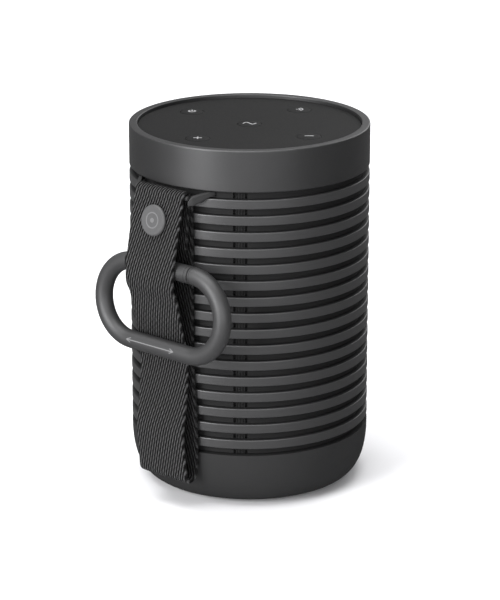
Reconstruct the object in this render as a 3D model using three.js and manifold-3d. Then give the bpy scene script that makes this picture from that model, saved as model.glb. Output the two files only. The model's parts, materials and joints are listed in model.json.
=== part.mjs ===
// A portable shower speaker: a ribbed drum with a control panel on top, and a webbing strap
// that carries an oval carabiner.
// Millimetres, +Z up. The strap hangs on the -Y side, the charging port faces +Y, and the
// underside of the foot lies at z = 0.
import * as THREE from "three";
import { mergeVertices } from "three/addons/utils/BufferGeometryUtils.js";
import Module from "manifold-3d";

const wasm = await Module();
wasm.setup();

// ---- Driving dimensions -------------------------------------------------------------------

// Clearances
const gap = 0.3; // between two pieces that touch
const portMargin = 0.35; // round the charging port
const running = 0.1; // radial play of a pin in its hole
const pressTravel = 0.4; // how far a button can be pressed
const pressReserve = 0.1; // left between a fully pressed button and its switch

// Facets round a turned piece
const roundFacets = 32;
const smallFacets = 12;
const tinyFacets = 8;

// Making solids
const overcut = 1; // how far a cutter runs past what it cuts
const overlap = 1; // how far two parts of one piece run into each other

// Housing
const bodyRadius = 40.5;
const bodyHeight = 124;
const collarHeight = 13.95;
const baseHeight = 19.3;
const rimWidth = 2.8;
const rimFillet = 0.6;
const collarWall = 4.5;
const flangeThickness = 2;
const flangeReach = 3; // how far the collar's lower flange stands in past its wall
const panelRecess = 1.1;
const panelThickness = 2;

// Ribbed sleeve
const ribCount = 16;
const grooveHeight = 2.44;
const grooveDepth = 2;
const sleeveWall = 2; // behind a groove
const slitWidth = 0.8;
const slitAngles = [33.6, 39.3]; // degrees from the strap, on both sides of it
const slitEndMargin = 3;

// Base and foot
const cornerDrop = 9.5; // how far the rounded corner runs in
const cornerPower = 2.4; // exponent of the corner's superellipse
const cornerSteps = 9;
const baseWall = 3.2;
const floorFillet = 2; // inside, between the base's floor and its wall
const footRadius = 29.5;
const footThickness = 1.9;
const footProud = 0.8;

// Buttons: the centre one, and four around it
const buttonRadius = 4;
const buttonRing = 26;
const buttonProud = 0.25;
const buttonFlange = 0.7;
const buttonFlangeHeight = 0.9;
const buttonStemRadius = 1.6;
const switchRadius = 2.6;
const switchHeight = 1;
const keypadThickness = 1.2;

// Strap bar: a thin rod under the webbing, with a flat blade at each end
const rodRadius = 0.8;
const rodDrop = 2.15; // below the collar
const bladeThickness = 1.8;
const bladeAbove = 1.8; // above the rod's axis, beside the webbing
const bladeBelow = 2.3;
const bladeReach = 1.5; // from the blade's start to its knee, sideways
const bladeRun = 6; // degrees from the knee to the root
const bladeRoot = [3, 2]; // degrees that the root spreads to each side
const pegWidth = 2;
const pegReach = 1.5; // inside the sleeve

// Webbing
const webWidth = 21;
const webThickness = 1.2;
const backPlyTop = 3.9; // below the rod's axis
const stretchTop = 1.5; // below the rod's axis, where the straight stretch under the snap starts
const stretchOut = 0.15; // how far it starts outside the fold over the rod
const stretchIn = 1; // how far its foot lies inside the ply in front of the gate
const stretchFoot = 2.2; // its foot above the gate's axis, in wire radii
// Places beside the gate: [how far out from the ply in front of it, wire radii above its axis]
const gatePlaces = [[0, 0.4], [0.4, -1.4], [0, -2.2], [-1.6, -3.35]];
const insideRing = 3; // how far the ply has run in, halfway down the ring
const bellyDrop = 3; // wire radii from the lower bar's axis down to the belly's top
const bellyIn = 0.45; // how far the belly's top lies inside the ply behind the lower bar
// Places on the slack belly: [bulge, share of the way up from the bottom fold]
const bellyPlaces = [[0.5, 0.71], [1.6, 0.55], [2.4, 0.42], [2.5, 0.26]];
const frontSteps = 42;
const foldSteps = 8;
const tailLength = 17.4; // from the rod's axis down to the loose end
const tailLean = 0.45; // how far the tail leans out from the snap's stud
const foldHeight = 9.6; // lowest point of the bottom fold above the ground
const bottomFoldRadius = 2.2;
const snapDrop = 8.5; // below the rod's axis

// Snap fastener
const snapRadius = 5.3;
const snapThickness = 1.2;
const snapShankRadius = 1.4;
const snapSocketRadius = 4.2;
const snapSocketThickness = 0.9;
const snapStudThickness = 0.6;
const snapEdge = 0.6; // straight share of the cap's thickness
const snapCrown = 0.92; // share of the cap's radius at its top

// Carabiner
const wireRadius = 3;
const ringEndRadius = 13.42;
const ringStraight = 25.86;
const ringShift = 2.25; // middle of the ring, to the right of the strap's middle
const ringDrop = 24.65; // gate's axis below the rod's axis
const ringTilt = 4.5; // degrees, lower bar outwards
const wireFacets = 12;
const wireSteps = 38;
const gatePinPlace = -9.5;
const gatePinRadius = 0.8;
const gatePinReach = 2.5; // from the pin's middle to each end
const gateNosePlace = 14.4;
const gateSwing = 12; // degrees
const tongueThickness = 2;
const tongueRadius = 2.2;
const springRadius = 1;
const springLength = 7;

// Inside
const linerThickness = 0.5;
const linerTop = 1; // below the sleeve's highest rib
const chassisGap = 0.8; // between the liner and the chassis
const chassisWall = 2;
const baffleThickness = 2;
const driverRadius = 21;
const driverFlange = 1.2;
const driverDepth = 17;
const driverHeight = 62; // above the ground
const frameLip = 2.4; // of the driver's frame, round the surround
const basketWall = 1;
const basketLip = 2; // between the driver's edge and its basket
const surroundWidth = 2.3;
const surroundEdge = 0.6; // height of the half roll's rim
const coneDepth = 7;
const coneEdge = 0.6;
const coneThroat = 1; // thickness at the voice coil
const coneTravel = 1;
const dustCapHeight = 2.2;
const dustCapShoulder = [0.6, 1.6]; // [share of the coil's radius, height]
const magnetRadius = 12;
const magnetDepth = 8;
const coilRadius = 8;
const coilWall = 0.6;
const coilLength = 4;
const magnetGapDepth = 5; // for the voice coil
const cellRadius = 9.2;
const cellLength = 65;
const cupWall = 1; // of the tray's two cups, which hold the cells
const cupHeight = 6;
const trayHeight = 16; // above the ground
const trayThickness = 2;
const boardHeight = 7.5; // above the ground
const boardThickness = 1.6;
const boardMargin = 4.8; // between the board and the base's wall
const ribbonWidth = 8;
const ribbonThickness = 0.4;
const ribbonRing = 28;
const ribbonAngle = 150; // degrees from the strap
const sealHeight = 0.85;
const sealWidth = 1.2;

// Base screws
const screwRing = 26;
const screwAngles = [45, 135, 225, 315];
const screwHeadRadius = 2.2;
const screwHeadHeight = 1.2;
const screwShankRadius = 1;
const screwLength = 10;
const postRadius = 2.6;

// Charging port
const portWidth = 8.9;
const portHeight = 3.2;
const portLength = 9.5;
const portWall = 0.3;
const portRecess = 1.2; // behind the base's surface
const portTongue = [6.7, 4.8, 0.7];

// ---- Places worked out from them ----------------------------------------------------------

const collarFoot = bodyHeight - collarHeight;
const grooveRadius = bodyRadius - grooveDepth;
const sleeveBore = grooveRadius - sleeveWall;
const ribHeight = (collarFoot - baseHeight - (ribCount + 1) * grooveHeight) / ribCount;
const panelRadius = bodyRadius - rimWidth - gap;
const panelTop = bodyHeight - panelRecess;
const panelFoot = panelTop - panelThickness;
const ledgeTop = panelFoot - gap;
const collarBore = bodyRadius - collarWall;
const flangeTop = collarFoot + flangeThickness;
const flangeBore = collarBore - flangeReach;
const buttonFlangeTop = panelFoot - gap;
const buttonFoot = buttonFlangeTop - buttonFlangeHeight - gap;
const switchTop = buttonFoot - pressTravel - pressReserve;
const keypadTop = switchTop - switchHeight - gap;

const foldRadius = rodRadius + gap + webThickness / 2;
const rodReach = bodyRadius + gap + foldRadius + webThickness / 2;
const bladeStart = webWidth / 2 + 2 * gap;
const kneeAngle = THREE.MathUtils.radToDeg(Math.asin((bladeStart + bladeReach) / bodyRadius));
const bladeAngle = kneeAngle + bladeRun;
const rodHeight = collarFoot - rodDrop;
const backPlyReach = bodyRadius + gap + webThickness / 2;
const ringReach = backPlyReach + webThickness / 2 + gap + wireRadius;
const ringHeight = rodHeight - ringDrop;
const tilt = THREE.MathUtils.degToRad(ringTilt);
const lowerBarReach = ringReach + 2 * ringEndRadius * Math.sin(tilt);
const lowerBarHeight = ringHeight - 2 * ringEndRadius * Math.cos(tilt);

const linerRadius = sleeveBore - 2 * gap;
const chassisRadius = linerRadius - linerThickness - chassisGap;
const boardRadius = cornerRadiusAt(boardHeight) - baseWall - boardMargin;
const chassisBore = chassisRadius - chassisWall;
const cupRadius = cellRadius + gap + cupWall;
const cellPlace = chassisBore - gap - cupRadius;
const coneRadius = driverRadius - frameLip - surroundWidth - gap;
const chassisTop = collarFoot - gap - sealHeight - gap;
const trayTop = trayHeight + trayThickness;
const chassisFoot = trayTop + gap + sealHeight + gap;
const portPlace = cornerRadiusAt(boardHeight + boardThickness + gap + portHeight / 2) - portRecess;

// Distance from the axis to a driver's front face: as far out as its round frame clears the
// liner.
function driverFace() {
  const room = linerRadius - linerThickness - gap;
  return Math.sqrt(room ** 2 - (driverRadius + gap) ** 2);
}

// Outer radius of the base at a height: straight at the top, then a superellipse.
function cornerRadiusAt(height) {
  const down = (baseHeight - height) / (baseHeight - footProud);
  const share = (1 - down ** cornerPower) ** (1 / cornerPower);
  return bodyRadius - cornerDrop * (1 - share);
}

// ---- Making and cutting solids ------------------------------------------------------------

function solidOf(geometry) {
  const loose = geometry.index ? geometry.toNonIndexed() : geometry;
  const bare = new THREE.BufferGeometry();
  bare.setAttribute("position", loose.getAttribute("position"));
  const merged = mergeVertices(bare, 1e-4);
  return new wasm.Manifold(
    new wasm.Mesh({
      numProp: 3,
      vertProperties: merged.getAttribute("position").array,
      triVerts: new Uint32Array(merged.index.array),
    }),
  );
}

function geometryOf(solid) {
  const mesh = solid.getMesh();
  const geometry = new THREE.BufferGeometry();
  geometry.setAttribute("position", new THREE.BufferAttribute(mesh.vertProperties, 3));
  geometry.setIndex(new THREE.BufferAttribute(mesh.triVerts, 1));
  geometry.computeVertexNormals();
  return geometry;
}

const join = (first, ...others) => others.reduce((sum, next) => sum.add(next), first);
const cut = (first, ...others) => others.reduce((rest, next) => rest.subtract(next), first);

// A profile of [radius, height] pairs turned round Z. It closes on itself.
function turned(profile, facets = roundFacets) {
  const points = profile.map(([radius, height]) => new THREE.Vector2(radius, height));
  if (THREE.ShapeUtils.area(points) < 0) points.reverse();
  points.push(points[0].clone());
  return solidOf(new THREE.LatheGeometry(points, facets).rotateX(Math.PI / 2));
}

const disc = (radius, low, high, facets) =>
  turned([[0, low], [radius, low], [radius, high], [0, high]], facets);
const tube = (bore, radius, low, high, facets) =>
  turned([[bore, low], [radius, low], [radius, high], [bore, high]], facets);

function block([x0, x1], [y0, y1], [z0, z1]) {
  const box = new THREE.BoxGeometry(x1 - x0, y1 - y0, z1 - z0);
  return solidOf(box.translate((x0 + x1) / 2, (y0 + y1) / 2, (z0 + z1) / 2));
}

// A cylinder along X, from x = low to x = high.
function barAlongX(radius, low, high, facets = smallFacets) {
  const bar = new THREE.CylinderGeometry(radius, radius, high - low, facets);
  return solidOf(bar.rotateZ(Math.PI / 2).translate((low + high) / 2, 0, 0));
}

// An outline of [reach, height] pairs, with reach measured outwards on the strap's side, as a
// slab of the given width centred on x = 0.
function slabAcross(outline, width) {
  const shape = new THREE.Shape(outline.map(([reach, height]) => new THREE.Vector2(reach, height)));
  const slab = new THREE.ExtrudeGeometry(shape, { depth: width, bevelEnabled: false });
  const turn = new THREE.Matrix4().makeBasis(
    new THREE.Vector3(0, -1, 0),
    new THREE.Vector3(0, 0, 1),
    new THREE.Vector3(-1, 0, 0),
  );
  return solidOf(slab.translate(0, 0, -width / 2).applyMatrix4(turn));
}

// Copies a solid to the other side of the plane x = 0.
const mirrored = (solid) => solid.mirror([1, 0, 0]);

// Turns a solid made on the strap's side round Z, in degrees towards +X.
const swungRound = (solid, degrees) => solid.rotate([0, 0, degrees]);

// ---- Finishes -----------------------------------------------------------------------------

const finish = (color, roughness, metalness = 0) =>
  new THREE.MeshStandardMaterial({ color, roughness, metalness });

const aluminium = finish(0x4a4a4b, 0.45, 0.6);
const polymer = finish(0x3a3a3b, 0.6);
const darkPolymer = finish(0x222223, 0.75);
const rubber = finish(0x2a2a2b, 0.85);
const webbing = finish(0x38383a, 0.9);
const coatedMetal = finish(0x3c3c3e, 0.5, 0.3);
const paleMetal = finish(0x77777a, 0.4, 0.5);
const steel = finish(0x9a9a9c, 0.35, 0.9);
const circuit = finish(0x1f4a33, 0.6);
const cellWrap = finish(0x3d5f8a, 0.5);
const paper = finish(0x2c2c2c, 0.9);

const speaker = new THREE.Group();

function addPiece(name, solid, material, parent = speaker) {
  const mesh = new THREE.Mesh(geometryOf(solid), material);
  mesh.name = name;
  parent.add(mesh);
}

// ---- Housing ------------------------------------------------------------------------------

function topCollar() {
  const rimBore = bodyRadius - rimWidth;
  return turned([
    [flangeBore, collarFoot],
    [bodyRadius, collarFoot],
    [bodyRadius, bodyHeight - rimFillet],
    [bodyRadius - rimFillet, bodyHeight],
    [rimBore, bodyHeight],
    [rimBore, ledgeTop],
    [collarBore, ledgeTop],
    [collarBore, flangeTop],
    [flangeBore, flangeTop],
  ]);
}

// A peg at each root of the strap bar, grown by a margin for the pocket that takes it.
function barPegs(margin = 0) {
  const middle = collarFoot - grooveHeight / 2;
  const half = grooveHeight / 2 - 2 * gap + margin;
  const peg = block(
    [-pegWidth / 2 - margin, pegWidth / 2 + margin],
    [-grooveRadius - 3 * gap, -sleeveBore + pegReach + margin],
    [middle - half, middle + half],
  );
  const right = swungRound(peg, bladeAngle);
  return join(right, mirrored(right));
}

function ribbedSleeve() {
  const outline = [[sleeveBore, baseHeight + gap], [grooveRadius, baseHeight + gap]];
  for (let rib = 0; rib < ribCount; rib++) {
    const foot = baseHeight + grooveHeight + rib * (ribHeight + grooveHeight);
    outline.push([grooveRadius, foot], [bodyRadius, foot]);
    outline.push([bodyRadius, foot + ribHeight], [grooveRadius, foot + ribHeight]);
  }
  outline.push([grooveRadius, collarFoot - gap], [sleeveBore, collarFoot - gap]);
  const slit = block(
    [-slitWidth / 2, slitWidth / 2],
    [-grooveRadius - gap, -sleeveBore + gap + sleeveWall / 2],
    [baseHeight + slitEndMargin + grooveHeight, collarFoot - slitEndMargin - grooveHeight],
  );
  const slits = slitAngles.map((angle) => swungRound(slit, angle));
  return cut(turned(outline), ...slits, ...slits.map(mirrored), barPegs(gap));
}

function baseCup() {
  const pocketRadius = footRadius + gap;
  const pocketTop = footThickness + gap;
  const floor = pocketTop + baseWall;
  const outline = [[0, pocketTop], [pocketRadius, pocketTop], [pocketRadius, footProud]];
  for (let step = 0; step <= cornerSteps; step++) {
    const turn = (step / cornerSteps) * (Math.PI / 2);
    const height = baseHeight - (baseHeight - footProud) * Math.cos(turn) ** (2 / cornerPower);
    outline.push([cornerRadiusAt(height), height]);
  }
  const boreTop = bodyRadius - baseWall - sealWidth / 2;
  outline.push([boreTop, baseHeight], [boreTop - gap, trayHeight - 2 * gap]);
  outline.push([cornerRadiusAt(floor + floorFillet) - baseWall, floor + floorFillet]);
  outline.push([cornerRadiusAt(floor) - baseWall - floorFillet, floor], [0, floor]);
  const port = portBox(portMargin, bodyRadius);
  return cut(turned(outline), port, ...screwPlaces().map((place) => screwHole(place)));
}

function footPad() {
  return disc(footRadius, 0, footThickness);
}

// ---- Controls -----------------------------------------------------------------------------

const buttonPlaces = {
  play: [0, 0],
  volume_up: [0, -buttonRing],
  volume_down: [buttonRing, 0],
  pair: [0, buttonRing],
  power: [-buttonRing, 0],
};

function controlPanel() {
  const holes = Object.values(buttonPlaces).map(([x, y]) =>
    disc(buttonRadius + gap, panelFoot - overcut, panelTop + overcut, smallFacets)
      .translate([x, y, 0]),
  );
  return cut(disc(panelRadius, panelFoot, panelTop), ...holes);
}

function pushButton([x, y]) {
  const top = panelTop + buttonProud;
  const flangeRadius = buttonRadius + buttonFlange;
  const flangeFoot = buttonFlangeTop - buttonFlangeHeight;
  const outline = [
    [0, buttonFoot],
    [buttonStemRadius, buttonFoot],
    [buttonStemRadius, flangeFoot],
    [flangeRadius, flangeFoot],
    [flangeRadius, buttonFlangeTop],
    [buttonRadius, buttonFlangeTop],
    [buttonRadius, top - buttonProud],
    [buttonRadius - buttonProud, top],
    [0, top],
  ];
  return turned(outline, smallFacets).translate([x, y, 0]);
}

function domeSwitch([x, y]) {
  const foot = switchTop - switchHeight;
  const shoulder = foot + switchHeight / 2;
  const outline = [[0, foot], [switchRadius, foot], [switchRadius, shoulder], [0, switchTop]];
  return turned(outline, tinyFacets).translate([x, y, 0]);
}

// ---- Strap bar ----------------------------------------------------------------------------

// A point [x, reach] at an angle from the strap, in degrees towards +X, and a radius.
function polar(degrees, radius) {
  const angle = THREE.MathUtils.degToRad(degrees);
  return [radius * Math.sin(angle), radius * Math.cos(angle)];
}

function blade() {
  const half = bladeThickness / 2;
  const [rootBefore, rootAfter] = bladeRoot;
  const plan = [
    [bladeStart, rodReach - half],
    [bladeStart, rodReach + half],
    polar(kneeAngle, bodyRadius + gap + bladeThickness),
    polar(bladeAngle, bodyRadius - gap / 2),
    polar(bladeAngle + rootAfter, grooveRadius + gap),
    polar(bladeAngle - rootBefore, grooveRadius + gap),
    polar(kneeAngle, bodyRadius + 2 * gap),
  ];
  const shadow = new THREE.Shape(plan.map(([x, reach]) => new THREE.Vector2(x, -reach)));
  const tall = new THREE.ExtrudeGeometry(shadow, { depth: collarHeight, bevelEnabled: false });
  const planSolid = solidOf(tall.translate(0, 0, rodHeight - collarHeight / 2));
  const kneeX = bladeStart + bladeReach - gap;
  const farX = bodyRadius;
  const low = collarFoot - grooveHeight + gap;
  const high = collarFoot - gap;
  const face = [
    [bladeStart - gap, rodHeight - bladeBelow],
    [kneeX, low],
    [farX, low],
    [farX, high],
    [bladeStart - gap, rodHeight + bladeAbove],
  ];
  const front = new THREE.Shape(face.map(([x, height]) => new THREE.Vector2(x, height)));
  const deep = new THREE.ExtrudeGeometry(front, { depth: 2 * bodyRadius, bevelEnabled: false });
  const turn = new THREE.Matrix4().makeBasis(
    new THREE.Vector3(1, 0, 0),
    new THREE.Vector3(0, 0, 1),
    new THREE.Vector3(0, -1, 0),
  );
  return planSolid.intersect(solidOf(deep.applyMatrix4(turn)));
}

function strapBar() {
  const side = blade();
  const reach = bladeStart + 2 * gap;
  const rod = barAlongX(rodRadius, -reach, reach).translate([0, -rodReach, rodHeight]);
  return join(side, mirrored(side), rod, barPegs());
}

// ---- Webbing ------------------------------------------------------------------------------

const frontReach = ringReach + wireRadius + gap + webThickness / 2; // in front of the gate
const behindReach = lowerBarReach - wireRadius - gap - webThickness / 2; // behind the lower bar
const bottomFoldReach = backPlyReach + bottomFoldRadius;
const bottomFoldMiddle = foldHeight + bottomFoldRadius + webThickness / 2;

// A point of the straight stretch that carries the snap, from the rod to just above the gate,
// at a distance below the rod's axis.
function snapStretch(drop) {
  const topReach = rodReach + foldRadius + stretchOut;
  const footReach = frontReach - stretchIn;
  const footDrop = ringDrop - stretchFoot * wireRadius;
  const share = (drop - stretchTop) / (footDrop - stretchTop);
  return [topReach + share * (footReach - topReach), rodHeight - drop];
}

// Middle line of the front ply, from the rod down to the bottom fold: out over the gate, in
// behind the lower bar, then a slack belly above the fold.
const snapRoom = snapRadius + 1; // straight on both sides of the snap's middle
const bellyTop = lowerBarHeight - bellyDrop * wireRadius;
const gatePoint = ([out, radii]) => [frontReach + out, ringHeight + radii * wireRadius];
const bellyPoint = ([bulge, share]) => [
  bottomFoldReach + bulge,
  bottomFoldMiddle + share * (bellyTop - bottomFoldMiddle),
];
const frontLine = new THREE.SplineCurve(
  [
    [rodReach + foldRadius, rodHeight],
    snapStretch(snapDrop - snapRoom),
    snapStretch(snapDrop),
    snapStretch(snapDrop + snapRoom),
    ...gatePlaces.map(gatePoint),
    [frontReach - insideRing, ringHeight - ringEndRadius - wireRadius],
    [behindReach, lowerBarHeight],
    [behindReach - bellyIn, bellyTop],
    ...bellyPlaces.map(bellyPoint),
    [bottomFoldReach + bottomFoldRadius, bottomFoldMiddle],
  ].map(([reach, height]) => new THREE.Vector2(reach, height)),
);
const snapShare = 2 / 15; // the front line's third point of sixteen

// Middle line of the tail, from its loose end up to the rod, just behind the snap's stud.
const snapStack = snapSocketThickness + snapStudThickness + 3 * gap;
const tailReach = snapStretch(snapDrop)[0] - webThickness - snapStack - tailLean;
const tailLine = new THREE.SplineCurve(
  [
    [tailReach + 2 * tailLean, rodHeight - tailLength],
    [tailReach + tailLean, rodHeight - (snapDrop + tailLength) / 2],
    [tailReach, rodHeight - snapDrop],
    [(tailReach + rodReach - foldRadius) / 2, rodHeight - snapDrop / 2],
    [rodReach - foldRadius, rodHeight],
  ].map(([reach, height]) => new THREE.Vector2(reach, height)),
);

// Points of an arc round a middle, with angles in degrees from the outward direction.
function arcPoints(reach, height, radius, from, to, steps) {
  return Array.from({ length: steps + 1 }, (_, step) => {
    const angle = THREE.MathUtils.degToRad(from + ((to - from) * step) / steps);
    return new THREE.Vector2(reach + radius * Math.cos(angle), height + radius * Math.sin(angle));
  });
}

// The outline of a ribbon of the webbing's thickness that follows a line of points.
function ribbonOutline(line) {
  const side = (sign) =>
    line.map((point, index) => {
      const before = line[Math.max(index - 1, 0)];
      const after = line[Math.min(index + 1, line.length - 1)];
      const along = after.clone().sub(before).normalize();
      const away = (sign * webThickness) / 2;
      return [point.x - along.y * away, point.y + along.x * away];
    });
  return [...side(1), ...side(-1).reverse()];
}

function snapPlace() {
  const middle = frontLine.getPoint(snapShare);
  const along = frontLine.getTangent(snapShare);
  const outward = new THREE.Vector2(-along.y, along.x);
  const surface = middle.addScaledVector(outward, webThickness / 2);
  return { reach: surface.x, height: surface.y, lean: Math.atan2(outward.y, outward.x) };
}

function strapWebbing() {
  const line = [
    ...tailLine.getPoints(foldSteps).slice(0, -1),
    ...arcPoints(rodReach, rodHeight, foldRadius, 180, 0, foldSteps),
    ...frontLine.getPoints(frontSteps).slice(1, -1),
    ...arcPoints(bottomFoldReach, bottomFoldMiddle, bottomFoldRadius, 0, -180, foldSteps),
  ];
  const loop = slabAcross(ribbonOutline(line), webWidth);
  const backPly = block(
    [-webWidth / 2, webWidth / 2],
    [-backPlyReach - webThickness / 2, -backPlyReach + webThickness / 2],
    [bottomFoldMiddle, rodHeight - backPlyTop],
  );
  const { reach, height, lean } = snapPlace();
  const hole = disc(snapShankRadius + gap, -webThickness - gap, gap, smallFacets)
    .rotate([90 - THREE.MathUtils.radToDeg(lean), 0, 0])
    .translate([0, -reach, height]);
  return cut(join(loop, backPly), hole);
}

// ---- Snap fastener: made flat, with z = 0 on the front ply's outer face --------------------

function snapCap() {
  const tip = -webThickness - gap - snapSocketThickness;
  return turned(
    [
      [0, tip],
      [snapShankRadius, tip],
      [snapShankRadius, gap],
      [snapRadius, gap],
      [snapRadius, gap + snapThickness * snapEdge],
      [snapRadius * snapCrown, gap + snapThickness],
      [0, gap + snapThickness],
    ],
    2 * smallFacets,
  );
}

function snapSocket() {
  const top = -webThickness - gap;
  return tube(snapShankRadius + gap, snapSocketRadius, top - snapSocketThickness, top, smallFacets);
}

function snapStud() {
  const top = -webThickness - 2 * gap - snapSocketThickness;
  return disc(snapSocketRadius - gap, top - snapStudThickness, top, smallFacets);
}

// ---- Carabiner: made flat in X and Y, with the gate's axis along y = 0 ---------------------

// A flat path as a route in space.
class FlatRoute extends THREE.Curve {
  constructor(path) {
    super();
    this.path = path;
  }
  getPoint(share, target = new THREE.Vector3()) {
    const { x, y } = this.path.getPoint(share);
    return target.set(x, y, 0);
  }
}

const leftEnd = ringShift - ringStraight / 2;
const rightEnd = ringShift + ringStraight / 2;

function acrossPin(radius, half, facets = smallFacets) {
  return disc(radius, -half, half, facets).translate([gatePinPlace, 0, 0]);
}

function carabinerBody() {
  const shoulder = gatePinPlace - wireRadius - gap;
  const lead = Math.asin((leftEnd - shoulder) / ringEndRadius);
  const path = new THREE.Path();
  const quarter = Math.PI / 2;
  path.absarc(leftEnd, -ringEndRadius, ringEndRadius, quarter + lead, 3 * quarter, false);
  path.lineTo(rightEnd, -2 * ringEndRadius);
  path.absarc(rightEnd, -ringEndRadius, ringEndRadius, -quarter, quarter, false);
  path.lineTo(gateNosePlace + gap, 0);
  const section = new THREE.Shape().absarc(0, 0, wireRadius, 0, 2 * Math.PI, false);
  const wire = new THREE.ExtrudeGeometry(section, {
    steps: wireSteps,
    curveSegments: wireFacets / 2,
    extrudePath: new FlatRoute(path),
  });
  const tongue = block(
    [shoulder - wireRadius / 2, gatePinPlace],
    [-tongueRadius, tongueRadius],
    [-tongueThickness / 2, tongueThickness / 2],
  );
  const eye = acrossPin(tongueRadius, tongueThickness / 2, 2 * smallFacets);
  const hole = acrossPin(gatePinRadius + running, wireRadius);
  return cut(join(solidOf(wire), tongue, eye), hole);
}

function carabinerGate() {
  const start = gatePinPlace - wireRadius;
  const bar = barAlongX(wireRadius, start, gateNosePlace, wireFacets);
  const room = [-wireRadius - overcut, wireRadius + overcut];
  const cube = block([start - overcut, gatePinPlace], room, room);
  const corners = cut(cube, acrossPin(wireRadius, 2 * wireRadius, 2 * smallFacets));
  const slotEnd = gatePinPlace + tongueRadius + gap;
  const slotHalf = tongueThickness / 2 + gap;
  const slot = block([start - overcut, slotEnd], room, [-slotHalf, slotHalf]);
  const bore = barAlongX(springRadius + gap, slotEnd - gap, slotEnd + springLength + 2 * gap);
  const hole = acrossPin(gatePinRadius + running, 2 * wireRadius);
  return cut(bar, corners, slot, bore, hole);
}

function gatePin() {
  return acrossPin(gatePinRadius, gatePinReach);
}

function gateSpring() {
  const start = gatePinPlace + tongueRadius + 2 * gap;
  return barAlongX(springRadius, start, start + springLength, tinyFacets);
}

// ---- Inside -------------------------------------------------------------------------------

function acousticLiner() {
  const top = collarFoot - grooveHeight - linerTop;
  return tube(linerRadius - linerThickness, linerRadius, chassisFoot + gap, top);
}

// Something made along Z, turned to point outwards along +X at the drivers' height.
const facingRight = (solid) => solid.rotate([0, 90, 0]).translate([0, 0, driverHeight]);

function innerChassis() {
  const shell = tube(chassisBore, chassisRadius, chassisFoot, chassisTop);
  const half = driverRadius + chassisWall;
  const face = driverFace() - driverFlange - gap;
  const plate = block(
    [face - baffleThickness, face],
    [-half, half],
    [driverHeight - half, driverHeight + half],
  );
  const inside = disc(chassisRadius - chassisWall / 2, chassisFoot, chassisTop);
  const baffle = plate.intersect(inside);
  const window = facingRight(disc(driverRadius + gap, face, bodyRadius, 2 * smallFacets));
  const mouth = facingRight(disc(driverRadius - basketLip + gap, 0, bodyRadius, 2 * smallFacets));
  const right = [window, mouth];
  return cut(join(shell, baffle, mirrored(baffle)), ...right, ...right.map(mirrored));
}

// The pieces of a driver, made with its front face at z = 0 and its back below.
function driverPieces() {
  const throat = coilRadius + coilWall + 2 * gap;
  const frameThroat = throat + coneTravel + gap; // leaves room for the cone's stroke
  const surroundBore = coneRadius + gap;
  const surroundRadius = driverRadius - frameLip;
  const backPlane = -driverDepth + magnetDepth;
  const coneFoot = -driverFlange - coneDepth;
  const coilTop = coneFoot - gap;
  const [capShare, capShoulder] = dustCapShoulder;
  return {
    frame: turned(
      [
        [surroundRadius + gap, 0],
        [driverRadius, 0],
        [driverRadius, -driverFlange],
        [driverRadius - basketLip, -driverFlange],
        [magnetRadius, backPlane + gap],
        [frameThroat, backPlane + gap],
        [frameThroat, backPlane + gap + basketWall],
        [magnetRadius - basketWall, backPlane + gap + basketWall],
        [surroundRadius - basketWall, -driverFlange - basketWall - gap],
        [surroundRadius + gap, -driverFlange],
      ],
      smallFacets,
    ),
    surround: turned(
      [
        [surroundBore, -driverFlange],
        [surroundBore, -driverFlange + surroundEdge],
        [(surroundBore + surroundRadius) / 2, 0],
        [surroundRadius, -driverFlange + surroundEdge],
        [surroundRadius, -driverFlange],
      ],
      smallFacets,
    ),
    cone: turned(
      [
        [coilRadius, coneFoot],
        [coneRadius, -driverFlange],
        [coneRadius, -driverFlange + coneEdge],
        [coilRadius, coneFoot + coneThroat],
      ],
      smallFacets,
    ),
    dust_cap: turned(
      [
        [0, coneFoot + coneThroat],
        [coilRadius - gap, coneFoot + coneThroat],
        [coilRadius * capShare, coneFoot + coneThroat + capShoulder],
        [0, coneFoot + coneThroat + dustCapHeight],
      ],
      smallFacets,
    ),
    voice_coil: tube(coilRadius, coilRadius + coilWall, coilTop - coilLength, coilTop, smallFacets),
    magnet: turned(
      [
        [0, -driverDepth],
        [magnetRadius, -driverDepth],
        [magnetRadius, backPlane],
        [throat, backPlane],
        [throat, backPlane - magnetGapDepth],
        [coilRadius - 2 * gap, backPlane - magnetGapDepth],
        [coilRadius - 2 * gap, backPlane],
        [0, backPlane],
      ],
      smallFacets,
    ),
  };
}

function batteryCell(side) {
  const foot = trayTop + gap;
  return disc(cellRadius, foot, foot + cellLength, smallFacets).translate([0, side * cellPlace, 0]);
}

function batteryTray() {
  const plate = disc(chassisRadius, trayHeight, trayTop);
  const cups = [-1, 1].map((side) =>
    tube(cellRadius + gap, cupRadius, trayTop - overlap, trayTop + cupHeight, smallFacets)
      .translate([0, side * cellPlace, 0]),
  );
  const postFoot = boardHeight + boardThickness + gap;
  const posts = screwPlaces().map(([x, y]) =>
    disc(postRadius, postFoot, trayHeight + overlap, tinyFacets).translate([x, y, 0]),
  );
  const holes = screwPlaces().map(([x, y]) =>
    disc(screwShankRadius + gap, postFoot - overcut, screwTip() + gap, tinyFacets).translate([x, y, 0]),
  );
  return cut(join(plate, ...cups, ...posts), ...holes);
}

function mainBoard() {
  const holes = screwPlaces().map(([x, y]) =>
    disc(screwShankRadius + gap, 0, trayHeight, tinyFacets).translate([x, y, 0]),
  );
  const plate = disc(boardRadius, boardHeight, boardHeight + boardThickness, 2 * smallFacets);
  return cut(plate, ...holes);
}

function keypadBoard() {
  return disc(flangeBore - gap, keypadTop - keypadThickness, keypadTop, 2 * smallFacets);
}

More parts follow.
